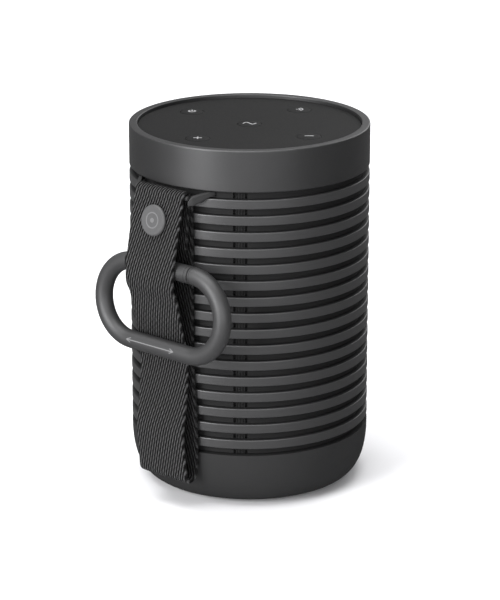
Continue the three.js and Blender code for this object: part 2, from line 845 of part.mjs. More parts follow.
function ribbonCable() {
  const strip = block(
    [-ribbonWidth / 2, ribbonWidth / 2],
    [-ribbonRing - ribbonThickness, -ribbonRing],
    [trayTop + gap, keypadTop - keypadThickness - gap],
  );
  return swungRound(strip, ribbonAngle);
}

function sealRing(foot) {
  return tube(chassisRadius - sealWidth, chassisRadius, foot, foot + sealHeight, 2 * smallFacets);
}

// ---- Base screws --------------------------------------------------------------------------

function screwPlaces() {
  return screwAngles.map((angle) => polar(angle, screwRing));
}

const screwSeat = () => footThickness + gap + screwHeadHeight + gap;
const screwTip = () => screwSeat() - gap - screwHeadHeight + screwLength;

function screwHole([x, y]) {
  const head = disc(screwHeadRadius + gap, 0, screwSeat(), smallFacets);
  const shank = disc(screwShankRadius + gap, 0, trayHeight, tinyFacets);
  return join(head, shank).translate([x, y, 0]);
}

function baseScrew([x, y]) {
  const foot = screwSeat() - gap - screwHeadHeight;
  const outline = [
    [0, foot],
    [screwHeadRadius, foot],
    [screwHeadRadius, foot + screwHeadHeight],
    [screwShankRadius, foot + screwHeadHeight],
    [screwShankRadius, screwTip()],
    [0, screwTip()],
  ];
  return turned(outline, tinyFacets).translate([x, y, 0]);
}

// ---- Charging port ------------------------------------------------------------------------

// The port's outer box, grown by a margin, from its back to a given distance from the axis.
function portBox(margin, front) {
  const foot = boardHeight + boardThickness + gap;
  return block(
    [-portWidth / 2 - margin, portWidth / 2 + margin],
    [portPlace - portLength - margin, front],
    [foot - margin, foot + portHeight + margin],
  );
}

function portShell() {
  const foot = boardHeight + boardThickness + gap;
  const mouth = block(
    [-portWidth / 2 + portWall, portWidth / 2 - portWall],
    [portPlace - portLength + 2 * portWall + gap, portPlace + overcut],
    [foot + portWall, foot + portHeight - portWall],
  );
  return cut(portBox(0, portPlace), mouth);
}

function portTab() {
  const [width, length, thickness] = portTongue;
  const back = portPlace - portLength + 2 * portWall + 2 * gap;
  const middle = boardHeight + boardThickness + gap + portHeight / 2;
  return block(
    [-width / 2, width / 2],
    [back, back + length],
    [middle - thickness / 2, middle + thickness / 2],
  );
}

// ---- Assembly -----------------------------------------------------------------------------

addPiece("top_collar", topCollar(), aluminium);
addPiece("ribbed_sleeve", ribbedSleeve(), aluminium);
addPiece("base_cup", baseCup(), polymer);
addPiece("foot_pad", footPad(), rubber);
addPiece("control_panel", controlPanel(), darkPolymer);
for (const [name, place] of Object.entries(buttonPlaces)) {
  addPiece("button_" + name, pushButton(place), darkPolymer);
  addPiece("switch_" + name, domeSwitch(place), steel);
}
addPiece("keypad_board", keypadBoard(), circuit);
addPiece("strap_bar", strapBar(), coatedMetal);
addPiece("strap_webbing", strapWebbing(), webbing);

const snap = new THREE.Group();
const { reach: snapReach, height: snapHeight, lean: snapLean } = snapPlace();
snap.position.set(0, -snapReach, snapHeight);
snap.rotation.x = Math.PI / 2 - snapLean;
speaker.add(snap);
addPiece("snap_cap", snapCap(), paleMetal, snap);
addPiece("snap_socket", snapSocket(), steel, snap);
addPiece("snap_stud", snapStud(), steel, snap);

const carabiner = new THREE.Group();
carabiner.position.set(0, -ringReach, ringHeight);
carabiner.rotation.x = Math.PI / 2 - tilt;
speaker.add(carabiner);
addPiece("carabiner_body", carabinerBody(), coatedMetal, carabiner);
addPiece("carabiner_gate", carabinerGate(), coatedMetal, carabiner);
addPiece("gate_pin", gatePin(), steel, carabiner);
addPiece("gate_spring", gateSpring(), steel, carabiner);

addPiece("acoustic_liner", acousticLiner(), paper);
addPiece("inner_chassis", innerChassis(), polymer);
for (const [side, quarterTurns] of [["right", 1], ["left", -1]]) {
  const driver = new THREE.Group();
  driver.position.set(quarterTurns * driverFace(), 0, driverHeight);
  driver.rotation.y = (quarterTurns * Math.PI) / 2;
  speaker.add(driver);
  const looks = { magnet: steel, voice_coil: steel, surround: rubber, frame: polymer };
  for (const [name, solid] of Object.entries(driverPieces())) {
    addPiece("driver_" + side + "_" + name, solid, looks[name] ?? paper, driver);
  }
}
addPiece("battery_cell_front", batteryCell(-1), cellWrap);
addPiece("battery_cell_rear", batteryCell(1), cellWrap);
addPiece("battery_tray", batteryTray(), polymer);
addPiece("main_board", mainBoard(), circuit);
addPiece("ribbon_cable", ribbonCable(), paper);
addPiece("top_seal", sealRing(collarFoot - gap - sealHeight), rubber);
addPiece("base_seal", sealRing(trayTop + gap), rubber);
screwPlaces().forEach((place, index) => {
  addPiece("base_screw_" + (index + 1), baseScrew(place), steel);
});
addPiece("charging_port", portShell(), steel);
addPiece("charging_port_tab", portTab(), darkPolymer);

export default speaker;
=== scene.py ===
import json
import math

import bmesh
import bpy
from mathutils import Matrix, Vector


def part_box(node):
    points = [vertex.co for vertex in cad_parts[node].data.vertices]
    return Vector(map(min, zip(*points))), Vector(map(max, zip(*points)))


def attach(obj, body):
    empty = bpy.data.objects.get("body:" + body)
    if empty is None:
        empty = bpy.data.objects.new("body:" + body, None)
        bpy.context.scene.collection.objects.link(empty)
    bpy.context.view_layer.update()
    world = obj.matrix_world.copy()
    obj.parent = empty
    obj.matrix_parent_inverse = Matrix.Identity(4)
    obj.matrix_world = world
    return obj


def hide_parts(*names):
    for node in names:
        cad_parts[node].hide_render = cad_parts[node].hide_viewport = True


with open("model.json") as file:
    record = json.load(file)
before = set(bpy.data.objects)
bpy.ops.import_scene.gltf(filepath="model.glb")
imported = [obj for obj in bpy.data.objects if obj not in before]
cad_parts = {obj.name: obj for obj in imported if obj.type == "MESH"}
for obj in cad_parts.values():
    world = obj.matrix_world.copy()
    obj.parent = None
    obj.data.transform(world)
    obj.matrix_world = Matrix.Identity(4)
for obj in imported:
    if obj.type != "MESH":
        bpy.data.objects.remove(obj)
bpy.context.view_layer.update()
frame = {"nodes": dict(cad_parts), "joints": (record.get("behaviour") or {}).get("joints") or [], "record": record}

MM = 0.001
UP = Vector((0, 0, 1))
JOINTS = {joint["name"]: joint for joint in frame["joints"]}


def cad_box(node):
    """The lowest and highest corners of a CAD node, in millimetres."""
    low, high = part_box(node)
    return low / MM, high / MM


def heights(node):
    return [corner.z for corner in cad_box(node)]


def joint_point(name):
    return Vector(JOINTS[name]["pos_m"]) / MM


def add_object(name, data):
    thing = bpy.data.objects.new(name, data)
    bpy.context.scene.collection.objects.link(thing)
    return thing


# ---- Camera

CAMERA_AZIMUTH = math.radians(41)
CAMERA_PITCH = math.radians(17.716)
CAMERA_DISTANCE = 898.3  # from the drum's axis, level
CAMERA_HEIGHT = 347.9
CAMERA_ASIDE = 0.133  # to its own right
CAMERA_LENS = 165.4


def make_camera():
    camera = add_object("camera", bpy.data.cameras.new("camera"))
    camera.data.lens = CAMERA_LENS
    camera.data.clip_start = 0.01
    sine, cosine = math.sin(CAMERA_AZIMUTH), math.cos(CAMERA_AZIMUTH)
    place = Vector((CAMERA_DISTANCE * sine, -CAMERA_DISTANCE * cosine, CAMERA_HEIGHT))
    place += CAMERA_ASIDE * Vector((cosine, sine, 0))
    camera.location = place * MM
    camera.rotation_euler = (math.pi / 2 - CAMERA_PITCH, 0, CAMERA_AZIMUTH)
    bpy.context.scene.camera = camera


make_camera()

# ---- Sizes, from the frame

BODY_RADIUS = cad_box("top_collar")[1].x
COLLAR_FOOT, BODY_HEIGHT = heights("top_collar")
SLEEVE_FOOT, SLEEVE_TOP = heights("ribbed_sleeve")
BASE_FOOT, BASE_TOP = heights("base_cup")
FOOT_RADIUS, _, FOOT_THICKNESS = cad_box("foot_pad")[1]
PANEL_FOOT, PANEL_TOP = heights("control_panel")

# Sizes that the frame's boxes don't show
GAP = 0.3
RIM_WIDTH = 2.8
PANEL_GAP = 0.1
COLLAR_BORE = 36
FLANGE_BORE = 33
COLLAR_FLANGE = 2
RIB_COUNT = 16
GROOVE_HEIGHT = 2.44
GROOVE_RADIUS = 38.5
SLEEVE_BORE = 36.5
SLIT_ANGLES = (33.6, 39.3)
SLIT_WIDTH = 0.8
SLIT_DEPTH = 1.2
SEAM_SPACING = 1.4  # degrees between two fine lines
SEAM_WIDTH = 0.35
SEAM_DEPTH = 0.4
CORNER_DROP = 9.5
CORNER_POWER = 2.4
BASE_WALL = 3.2
BASE_LIP = 0.6  # added to its wall at the top
LIP_HEIGHT = 4
FLOOR_FILLET = 2
BUTTON_RADIUS = 4
BUTTON_GAP = 0.13
BUTTON_DOME = 0.2
BUTTON_FLANGE = 0.7
FLANGE_HEIGHT = 0.9
STEM_RADIUS = 1.6
ROUND_COLUMNS = 256
OVERCUT = 1  # that a cutter stands out by

# ---- Making pieces

SHARP_ANGLE = 35  # degrees, from which an edge is sharp
WELD_DISTANCE = 1e-7  # metres
ARC_MARGIN = 0.12  # from an arc's end to the point that keeps the next stretch flat
ARC_SHARE = 0.49  # of a side, at most, that one arc takes
ON_AXIS = 1e-6


def shade(mesh, sharp_angle=SHARP_ANGLE):
    mesh.shade_smooth()
    mesh.set_sharp_from_angle(angle=math.radians(sharp_angle))


def add_mesh(name, build, sharp_angle=SHARP_ANGLE):
    mesh = bpy.data.meshes.new(name)
    build.to_mesh(mesh)
    build.free()
    shade(mesh, sharp_angle)
    return add_object(name, mesh)


def new_piece(name, points, faces, sharp_angle=SHARP_ANGLE, weave=None):
    """A mesh object from points in millimetres. weave is a (across, along, 0) for each point."""
    build = bmesh.new()
    corners = [build.verts.new(Vector(point) * MM) for point in points]
    for face in faces:
        build.faces.new([corners[index] for index in face])
    bmesh.ops.remove_doubles(build, verts=build.verts, dist=WELD_DISTANCE)
    bmesh.ops.recalc_face_normals(build, faces=build.faces)
    piece = add_mesh(name, build, sharp_angle)
    if weave:
        attribute = piece.data.attributes.new("weave", "FLOAT_VECTOR", "POINT")
        attribute.data.foreach_set("vector", [part for spot in weave for part in spot])
    return piece


def shift(x, y, z):
    return Matrix.Translation((x, y, z))


def place(piece, matrix):
    """Moves a piece's points by a matrix whose offset is in millimetres."""
    metres = matrix.copy()
    metres.translation *= MM
    piece.data.transform(metres)
    return piece


def finish_piece(piece, body, slot, *nodes, finish=None):
    """Gives a piece its body and its finish, which is the slot's own unless another is named, and
    hides the CAD nodes that it stands for."""
    piece.data.materials.clear()
    piece.data.materials.append(FINISHES[finish or slot])
    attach(piece, body)
    if nodes:
        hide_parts(*nodes)


def cut_out(piece, cutter):
    """Cuts one solid out of another and removes the cutter."""
    change = piece.modifiers.new("cut", "BOOLEAN")
    change.operation = "DIFFERENCE"
    change.solver = "EXACT"
    change.object = cutter
    graph = bpy.context.evaluated_depsgraph_get()
    mesh = bpy.data.meshes.new_from_object(piece.evaluated_get(graph))
    piece.modifiers.clear()
    piece.data = mesh
    bpy.data.objects.remove(cutter)
    shade(mesh)


def drill(piece, x, y, low, high, radius, sides=48):
    """Cuts a round upright hole right through from one height to another."""
    route = [shift(x, y, height) for height in (low - OVERCUT, high + OVERCUT)]
    cut_out(piece, swept("hole", route, [circle(radius, sides)] * 2))


def join_pieces(name, pieces):
    """Puts the meshes of several pieces into one object."""
    build = bmesh.new()
    for piece in pieces:
        build.from_mesh(piece.data)
        bpy.data.objects.remove(piece)
    return add_mesh(name, build)


def rounded(corners, steps):
    """An outline with its corners (x, y, fillet radius) replaced by arcs. A point before and
    after each arc keeps the straight stretches flat when they are shaded."""
    outline = []
    count = len(corners)
    for index, (x, y, radius) in enumerate(corners):
        corner = Vector((x, y))
        if not radius:
            outline.append((x, y))
            continue
        near = corners[index - 1], corners[(index + 1) % count]
        sides = [Vector(other[:2]) - corner for other in near]
        half = sides[0].angle(sides[1]) / 2
        back = min(radius / math.tan(half), *(ARC_SHARE * side.length for side in sides))
        start, end = (corner + side.normalized() * back for side in sides)
        lead, trail = (min(ARC_MARGIN, side.length / 2 - back) for side in sides)
        arc_points = []
        for step in range(steps + 1):
            share = step / steps
            ease = (1 - share) ** 2, 2 * share * (1 - share), share**2
            arc_points.append(start * ease[0] + corner * ease[1] + end * ease[2])
        if lead > ARC_MARGIN / 4:
            arc_points.insert(0, start + sides[0].normalized() * lead)
        if trail > ARC_MARGIN / 4:
            arc_points.append(end + sides[1].normalized() * trail)
        outline += [tuple(point) for point in arc_points]
    return outline


def even_angles(columns):
    return [360 * column / columns for column in range(columns)]


def turned(name, corners, steps=4, columns=ROUND_COLUMNS, angles=None, inset=None):
    """A closed outline of (radius, height, fillet radius) turned round Z. inset(angle, radius)
    gives how far in a point is pushed."""
    outline = rounded(corners, steps)
    angles = angles or even_angles(columns)
    points = []
    for angle in angles:
        turn = math.radians(angle)
        for radius, height in outline:
            inner = radius - (inset(angle, radius) if inset else 0)
            points.append((inner * math.sin(turn), -inner * math.cos(turn), height))
    rows, columns = len(outline), len(angles)
    faces = []
    for column in range(columns):
        here, there = column * rows, ((column + 1) % columns) * rows
        for row in range(rows):
            after = (row + 1) % rows
            if outline[row][0] < ON_AXIS and outline[after][0] < ON_AXIS:
                continue
            faces.append((here + row, there + row, there + after, here + after))
    return new_piece(name, points, faces)


def skin(rows, size):
    """The faces of a closed skin over rows of points: both ends, then the sides."""
    last = (rows - 1) * size
    faces = [tuple(range(size)), tuple(range(last, last + size))]
    for low in range(0, last, size):
        for side in range(size):
            after = (side + 1) % size
            faces.append((low + side, low + after, low + size + after, low + size + side))
    return faces


def swept(name, route, sections):
    """A closed skin over a row of sections. route gives a matrix for each section, and each
    section is a list of (x, y), all of one length."""
    points = []
    for matrix, section in zip(route, sections):
        points += [matrix @ Vector((x, y, 0)) for x, y in section]
    return new_piece(name, points, skin(len(sections), len(sections[0])))


def circle(radius, sides=48):
    turns = [2 * math.pi * side / sides for side in range(sides)]
    return [(radius * math.cos(turn), radius * math.sin(turn)) for turn in turns]


def slab(name, outline, low, high, bevel=0.05):
    """A flat outline of (x, y) raised from one height to another, with its top edge eased."""
    middle = Vector((sum(x for x, _ in outline), sum(y for _, y in outline))) / len(outline)
    eased = []
    for x, y in outline:
        point = Vector((x, y))
        eased.append(tuple(point - (point - middle).normalized() * bevel))
    levels = [(outline, low), (outline, high - bevel), (eased, high)]
    route = [shift(0, 0, level) for _, level in levels]
    return swept(name, route, [shape for shape, _ in levels])


def along(tangent, place_at, normal):
    """A matrix whose Z runs along a tangent and whose X is a given normal."""
    z_axis = tangent.normalized()
    x_axis = (normal - z_axis * normal.dot(z_axis)).normalized()
    y_axis = z_axis.cross(x_axis)
    columns = Matrix((x_axis, y_axis, z_axis)).transposed().to_4x4()
    columns.translation = place_at
    return columns


def neighbours(line, index):
    return line[max(index - 1, 0)], line[min(index + 1, len(line) - 1)]


def spline(points, steps):
    """A uniform Catmull-Rom curve through points, with a number of steps on each stretch."""
    points = [Vector(point) for point in points]
    line = []
    last = len(points) - 1
    for index in range(last):
        before, start = points[max(index - 1, 0)], points[index]
        end, after = points[index + 1], points[min(index + 2, last)]
        lead, trail = (end - before) / 2, (after - start) / 2
        for step in range(steps):
            t = step / steps
            line.append(
                (2 * start - 2 * end + lead + trail) * t**3
                + (-3 * start + 3 * end - 2 * lead - trail) * t**2
                + lead * t
                + start
            )
    line.append(points[-1])
    return line


# ---- Materials


class Finish:
    """A material's node tree, with short calls for the nodes that it needs."""

    def __init__(self, name, colour, roughness, metallic=0.0, specular=0.5):
        self.material = bpy.data.materials.new(name)
        self.material.use_nodes = True
        self.nodes = self.material.node_tree.nodes
        self.links = self.material.node_tree.links
        self.shader = self.nodes["Principled BSDF"]
        self.colour = colour
        self.roughness = roughness
        self.set("Base Color", (*colour, 1))
        self.set("Roughness", roughness)
        self.set("Metallic", metallic)
        self.set("Specular IOR Level", specular)

    def set(self, socket, value):
        self.shader.inputs[socket].default_value = value

    def add(self, kind, inputs=None, **settings):
        node = self.nodes.new(kind)
        for key, value in settings.items():
            setattr(node, key, value)
        for socket, value in (inputs or {}).items():
            if isinstance(value, bpy.types.NodeSocket):
                self.links.new(value, node.inputs[socket])
            else:
                node.inputs[socket].default_value = value
        return node

    def math(self, operation, first, second=0.0):
        node = self.add("ShaderNodeMath", {0: first, 1: second}, operation=operation)
        return node.outputs[0]

    def sum_of(self, *products):
        """The sum of two products, each a pair of factors."""
        return self.math("ADD", *(self.math("MULTIPLY", *product) for product in products))

    def place(self, stretch=(1, 1, 1)):
        """The frame's own coordinates, stretched."""
        where = self.add("ShaderNodeTexCoord").outputs["Object"]
        return self.add("ShaderNodeMapping", {"Vector": where, "Scale": stretch}).outputs[0]

    def noise(self, scale, detail=3, stretch=(1, 1, 1)):
        inputs = {"Vector": self.place(stretch), "Scale": scale, "Detail": detail}
        return self.add("ShaderNodeTexNoise", inputs).outputs[0]

    def spread(self, value, low, high, start=0.3, end=0.7):
        inputs = {0: value, 1: start, 2: end, 3: low, 4: high}
        return self.add("ShaderNodeMapRange", inputs).outputs[0]

    def tint(self, share, low, high):
        """Base colour between two multiples of the finish's colour."""
        ramp = self.add("ShaderNodeMix", {0: share}, data_type="RGBA")
        ramp.inputs[6].default_value = (*(low * part for part in self.colour), 1)
        ramp.inputs[7].default_value = (*(high * part for part in self.colour), 1)
        self.links.new(ramp.outputs[2], self.shader.inputs["Base Color"])

    def vary_roughness(self, value, amount):
        changed = self.spread(value, self.roughness - amount, self.roughness + amount)
        self.links.new(changed, self.shader.inputs["Roughness"])

    def relief(self, height, distance):
        inputs = {"Height": height, "Distance": distance, "Strength": 1}
        bump = self.add("ShaderNodeBump", inputs)
        self.links.new(bump.outputs[0], self.shader.inputs["Normal"])


def grained(name, colour, roughness, metallic, specular, grain, height, mottle=0.08,
            stretch=(1, 1, 1)):
    """A finish with a fine grain, a faint mottle and an uneven gloss."""
    finish = Finish(name, colour, roughness, metallic, specular)
    fine = finish.noise(grain, 2, stretch)
    broad = finish.noise(45, 4)
    finish.tint(finish.spread(broad, 0, 1), 1 - mottle, 1 + mottle)
    finish.vary_roughness(fine, 0.05)
    finish.relief(fine, height)
    return finish.material


def grey(level):
    """A grey with a touch of blue."""
    return (level, level, 1.02 * level)


def sleeve_finish():
    """Anodised ribs, brushed round the drum, with the grooves between them left matt and
    darkened by painted shade.
    """
    finish = Finish("sleeve_aluminium", grey(0.073), 0.46, 0.7)
    x, y, _ = finish.add("ShaderNodeSeparateXYZ", {0: finish.place()}).outputs
    radius = finish.math("SQRT", finish.sum_of((x, x), (y, y)))
    low, high = (GROOVE_RADIUS + RIB_EDGE) * MM, (BODY_RADIUS - RIB_EDGE) * MM
    outside = finish.spread(radius, 0, 1, low, high)
    brush = finish.noise(900, 2, BRUSHED)
    mottle = finish.spread(brush, -BRUSH_MOTTLE, BRUSH_MOTTLE)
    # painted shade: the grooves' colour is darkened to a share of the ribs' colour
    finish.tint(finish.math("ADD", outside, mottle), GROOVE_PAINTED_SHADE, 1)
    gloss = finish.spread(outside, GROOVE_ROUGHNESS, RIB_ROUGHNESS, 0, 1)
    finish.links.new(gloss, finish.shader.inputs["Roughness"])
    finish.relief(brush, 1.2e-5)
    return finish.material


GROOVE_PAINTED_SHADE = 0.26  # of the ribs' colour, as painted shade in the grooves
GROOVE_ROUGHNESS = 0.75
RIB_ROUGHNESS = 0.42
RIB_EDGE = 0.3  # from the groove's floor and the rib's face to where the colour changes
BRUSHED = (0.08, 0.08, 5)
BRUSH_MOTTLE = 0.1


def webbing_finish(shaded_to, shaded_from):
    """Twill of fine diagonal yarns, drawn from the "weave" attribute, which holds each point's
    distance across and along the webbing in millimetres, with painted highlight on the rows and
    painted shade between them. The two lengths bound the front ply; the tail and the back ply
    beyond it lie in its shade, which is painted into their colour."""
    finish = Finish("webbing", grey(0.018), 0.85, specular=0.1)
    finish.set("Sheen Weight", 0.04)
    finish.set("Sheen Roughness", 0.45)
    place_at = finish.add("ShaderNodeAttribute", attribute_name="weave").outputs["Vector"]
    across, lengthways, _ = finish.add("ShaderNodeSeparateXYZ", {0: place_at}).outputs
    cosine, sine = math.cos(math.radians(TWILL_LEAN)), math.sin(math.radians(TWILL_LEAN))
    rows = finish.sum_of((lengthways, cosine / TWILL_PITCH), (across, sine / TWILL_PITCH))
    ridge = finish.math("SINE", finish.math("MULTIPLY", rows, 2 * math.pi))
    odd = finish.math("MULTIPLY", finish.math("FLOOR", rows), STITCH_STAGGER)
    run = finish.sum_of((across, cosine / STITCH_PITCH), (lengthways, sine / STITCH_PITCH))
    run = finish.math("ADD", run, odd)
    stitch = finish.math("SINE", finish.math("MULTIPLY", run, 2 * math.pi))
    weave = finish.math("ADD", ridge, finish.math("MULTIPLY", stitch, STITCH_SHARE))
    pattern = finish.math("ADD", weave, finish.spread(finish.noise(5200, 2), -FUZZ, FUZZ))
    # painted shade: the tail and the back ply are darkened in colour
    lit = finish.math(
        "MULTIPLY",
        finish.spread(lengthways, SHADED_PLY, 1, shaded_to - SHADE_EDGE, shaded_to),
        finish.spread(lengthways, 1, SHADED_PLY, shaded_from, shaded_from + SHADE_EDGE),
    )
    # painted highlight on the yarn rows and painted shade between them
    bright = finish.math("MULTIPLY", finish.spread(pattern, 0, 1, -0.1, 1.1), lit)
    finish.tint(bright, *YARN_PAINTED_LIGHT_AND_SHADE)
    finish.relief(pattern, 4e-4)
    return finish.material


TWILL_LEAN = 74.5  # degrees from straight across
TWILL_PITCH = 0.99
TWILL_HEIGHT = 0.1
STITCH_PITCH = 2.1
STITCH_STAGGER = 0.37  # of a stitch, from one row to the next
STITCH_SHARE = 0.3  # of a row's relief
FUZZ = 0.35  # of a row's relief
YARN_PAINTED_LIGHT_AND_SHADE = (0.02, 4.9)  # multiples of the webbing's colour: painted shade between rows, painted highlight on them
SHADED_PLY = 0.35  # of the front ply's brightness: painted shade on the tail and the back ply
SHADE_EDGE = 4

# Colour, roughness, metallic, specular, and the grain's scale and its height in metres; then the
# mottle and the grain's stretch, where they aren't grained's own
FINISH_VALUES = {
    "collar_aluminium": (grey(0.07), 0.46, 0.85, 0.5, 2600, 5e-6),
    "base_polymer": (grey(0.018), 0.75, 0, 0.2, 3000, 1.2e-5),
    "foot_rubber": (grey(0.02), 0.85, 0, 0.3, 1800, 2e-5),
    "panel_rubber": (grey(0.006), 0.66, 0, 0.13, 3200, 1e-5),
    "button_rubber": (grey(0.0062), 0.64, 0, 0.13, 3200, 1e-5),
    "pale_print": (grey(0.26), 0.6, 0, 0.4, 4000, 4e-6),
    "ring_print": (grey(0.14), 0.6, 0, 0.4, 4000, 4e-6),
    "coated_metal": (grey(0.062), 0.5, 0.6, 0.4, 3600, 6e-6),
    "bar_coating": (grey(0.026), 0.5, 0.1, 0.3, 3600, 6e-6),
    "snap_metal": (grey(0.068), 0.55, 0.2, 0.35, 3400, 8e-6),
    "snap_mark": (grey(0.115), 0.5, 0.2, 0.5, 3400, 4e-6),
    "bright_steel": (grey(0.45), 0.32, 0.95, 0.5, 1500, 4e-6),
    "inner_polymer": (grey(0.04), 0.6, 0, 0.4, 2600, 1.5e-5),
    "liner_cloth": (grey(0.02), 0.95, 0, 0.2, 1400, 6e-5),
    "cone_paper": (grey(0.03), 0.9, 0, 0.2, 900, 5e-5),
    "soft_rubber": (grey(0.02), 0.8, 0, 0.3, 2600, 1.5e-5),
    "coil_copper": ((0.5, 0.2, 0.09), 0.35, 0.9, 0.5, 3000, 1e-5, 0.1, (1, 1, 8)),
    "circuit_board": ((0.01, 0.06, 0.03), 0.5, 0, 0.5, 1200, 1e-5, 0.3),
    "cell_wrap": ((0.03, 0.1, 0.25), 0.4, 0, 0.5, 1600, 4e-6),
}
FINISHES = {name: grained(name, *values) for name, values in FINISH_VALUES.items()}
FINISHES["sleeve_aluminium"] = sleeve_finish()

# ---- Housing


def make_collar():
    rim_bore = BODY_RADIUS - RIM_WIDTH
    ledge = PANEL_FOOT - GAP
    flange_top = COLLAR_FOOT + COLLAR_FLANGE
    corners = [
        (FLANGE_BORE, COLLAR_FOOT, 0.2), (BODY_RADIUS, COLLAR_FOOT, 0.35),
        (BODY_RADIUS, BODY_HEIGHT, 0.45), (rim_bore, BODY_HEIGHT, 0.25), (rim_bore, ledge, 0),
        (COLLAR_BORE, ledge, 0), (COLLAR_BORE, flange_top, 0.5),
        (FLANGE_BORE, flange_top, 0.2),
    ]
    finish_piece(turned("collar", corners, 5), "housing", "collar_aluminium", "top_collar")


def sleeve_columns():
    """The depth cut at each angle round the drum, with close pairs at each side of every cut."""
    cuts = []
    for side in (1, -1):
        for angle in SLIT_ANGLES:
            cuts.append((side * angle % 360, SLIT_WIDTH, SLIT_DEPTH))
        line = SLIT_ANGLES[0] + SEAM_SPACING
        while line < SLIT_ANGLES[1] - SEAM_SPACING / 2:
            cuts.append((side * line % 360, SEAM_WIDTH, SEAM_DEPTH))
            line += SEAM_SPACING
    wall, clear = 0.02, 0.9  # degrees: a slit's side, and what is kept free round it
    depths = {}
    for angle, width, depth in cuts:
        half = math.degrees(width / 2 / GROOVE_RADIUS)
        for offset, share in ((-half - wall, 0), (-half, 1), (half, 1), (half + wall, 0)):
            depths[angle + offset] = depth * share
    for angle in even_angles(ROUND_COLUMNS):
        if all(abs(angle - middle) > clear for middle, _, _ in cuts):
            depths[angle] = 0
    return depths


def make_sleeve():
    rib = (COLLAR_FOOT - BASE_TOP - (RIB_COUNT + 1) * GROOVE_HEIGHT) / RIB_COUNT
    corners = [(SLEEVE_BORE, SLEEVE_FOOT, 0), (GROOVE_RADIUS, SLEEVE_FOOT, 0)]
    for index in range(RIB_COUNT):
        low = BASE_TOP + GROOVE_HEIGHT + index * (rib + GROOVE_HEIGHT)
        corners += [(GROOVE_RADIUS, low, 0.12), (BODY_RADIUS, low, 0.16)]
        corners += [(BODY_RADIUS, low + rib, 0.3), (GROOVE_RADIUS, low + rib, 0.12)]
    corners += [(GROOVE_RADIUS, SLEEVE_TOP, 0), (SLEEVE_BORE, SLEEVE_TOP, 0)]
    depths = sleeve_columns()
    slack = 1e-3

    def cut(angle, radius):
        return depths[angle] * (SLEEVE_BORE + slack < radius < GROOVE_RADIUS + slack)

    sleeve = turned("sleeve", corners, 3, angles=sorted(depths), inset=cut)
    finish_piece(sleeve, "housing", "sleeve_aluminium", "ribbed_sleeve")


def corner_radius(height):
    """The base's outer radius at a height: straight at the top, then a superellipse."""
    down = (BASE_TOP - height) / (BASE_TOP - BASE_FOOT)
    share = max(1 - down**CORNER_POWER, 0) ** (1 / CORNER_POWER)
    return BODY_RADIUS - CORNER_DROP * (1 - share)


def make_base():
    steps, top_edge = 40, 0.25
    ceiling = FOOT_THICKNESS + GAP  # of the recess that holds the foot
    recess = FOOT_RADIUS + GAP
    corners = [(0, ceiling, 0), (recess, ceiling, 0.2), (recess, BASE_FOOT, 0.2)]
    for step in range(steps + 1):
        turn = step / steps * math.pi / 2
        drop = (BASE_TOP - BASE_FOOT) * math.cos(turn) ** (2 / CORNER_POWER)
        height = BASE_TOP - drop - (top_edge if step == steps else 0)
        corners.append((corner_radius(height), height, 0))
    lip = BODY_RADIUS - BASE_WALL - BASE_LIP
    corners += [(BODY_RADIUS, BASE_TOP, top_edge), (lip, BASE_TOP, 0.2)]
    floor = ceiling + BASE_WALL
    fillet_top = floor + FLOOR_FILLET
    corners += [
        (lip, BASE_TOP - LIP_HEIGHT, 0),
        (corner_radius(fillet_top) - BASE_WALL, fillet_top, 0),
        (corner_radius(floor) - BASE_WALL - FLOOR_FILLET, floor, 0), (0, floor, 0),
    ]
    base = turned("base", corners, 3)
    mouth = cad_box("charging_port")[1].y
    route = port_route(*(mouth + place for place in PORT_CUT))
    cut_out(base, swept("window", route, [port_outline(PORT_MARGIN)] * 2))
    finish_piece(base, "housing", "base_polymer", "base_cup")


def make_foot():
    corners = [(0, 0, 0), (FOOT_RADIUS, 0, 0.4), (FOOT_RADIUS, FOOT_THICKNESS, 0.1)]
    corners.append((0, FOOT_THICKNESS, 0))
    finish_piece(turned("foot", corners), "housing", "foot_rubber", "foot_pad")


# ---- Charging port

PORT_MARGIN = 0.35  # between the port and the base's window
PORT_CUT = (-12, 6)  # from the port's mouth to the ends of the window's cutter
PORT_WALL = 0.3
PORT_LIP = 0.12
PORT_FLOOR = 0.9
PORT_STEPS = 12  # round each end


def port_outline(margin):
    """The port's section, wide and round-ended, grown by a margin."""
    low, high = cad_box("charging_port")
    radius = (high.z - low.z) / 2 + margin
    straight = (high.x - low.x) / 2 + margin - radius
    outline = []
    for side, first in ((1, -90), (-1, 90)):
        outline += arc((side * straight, 0), radius, first, first + 180, PORT_STEPS)
    return outline


def port_route(*places):
    """Matrices at several places along Y, at the port's height."""
    turn = Matrix.Rotation(math.pi / 2, 4, "X")
    return [shift(0, y, sum(heights("charging_port")) / 2) @ turn for y in places]


def make_port():
    low, high = cad_box("charging_port")
    back, mouth = low.y, high.y
    levels = [
        (back, 0), (mouth - PORT_LIP, 0), (mouth, -PORT_LIP), (mouth, -PORT_WALL + PORT_LIP / 2),
        (mouth - PORT_LIP, -PORT_WALL), (back + PORT_FLOOR, -PORT_WALL),
    ]
    sections = [port_outline(margin) for _, margin in levels]
    shell = swept("port_shell", port_route(*(y for y, _ in levels)), sections)
    finish_piece(shell, "housing", "bright_steel", "charging_port")


# ---- Controls

BUTTON_NAMES = ("play", "volume_up", "volume_down", "pair", "power")
ICON_HEIGHT = 0.05
ICON_ROOT = 0.125  # below the button's top
ICON_STEP = 0.02  # between strokes that cross, so that no two faces lie in one plane
ICON_LINE = 0.5


def button_middle(name):
    low, high = cad_box("button_" + name)
    return (low + high) / 2


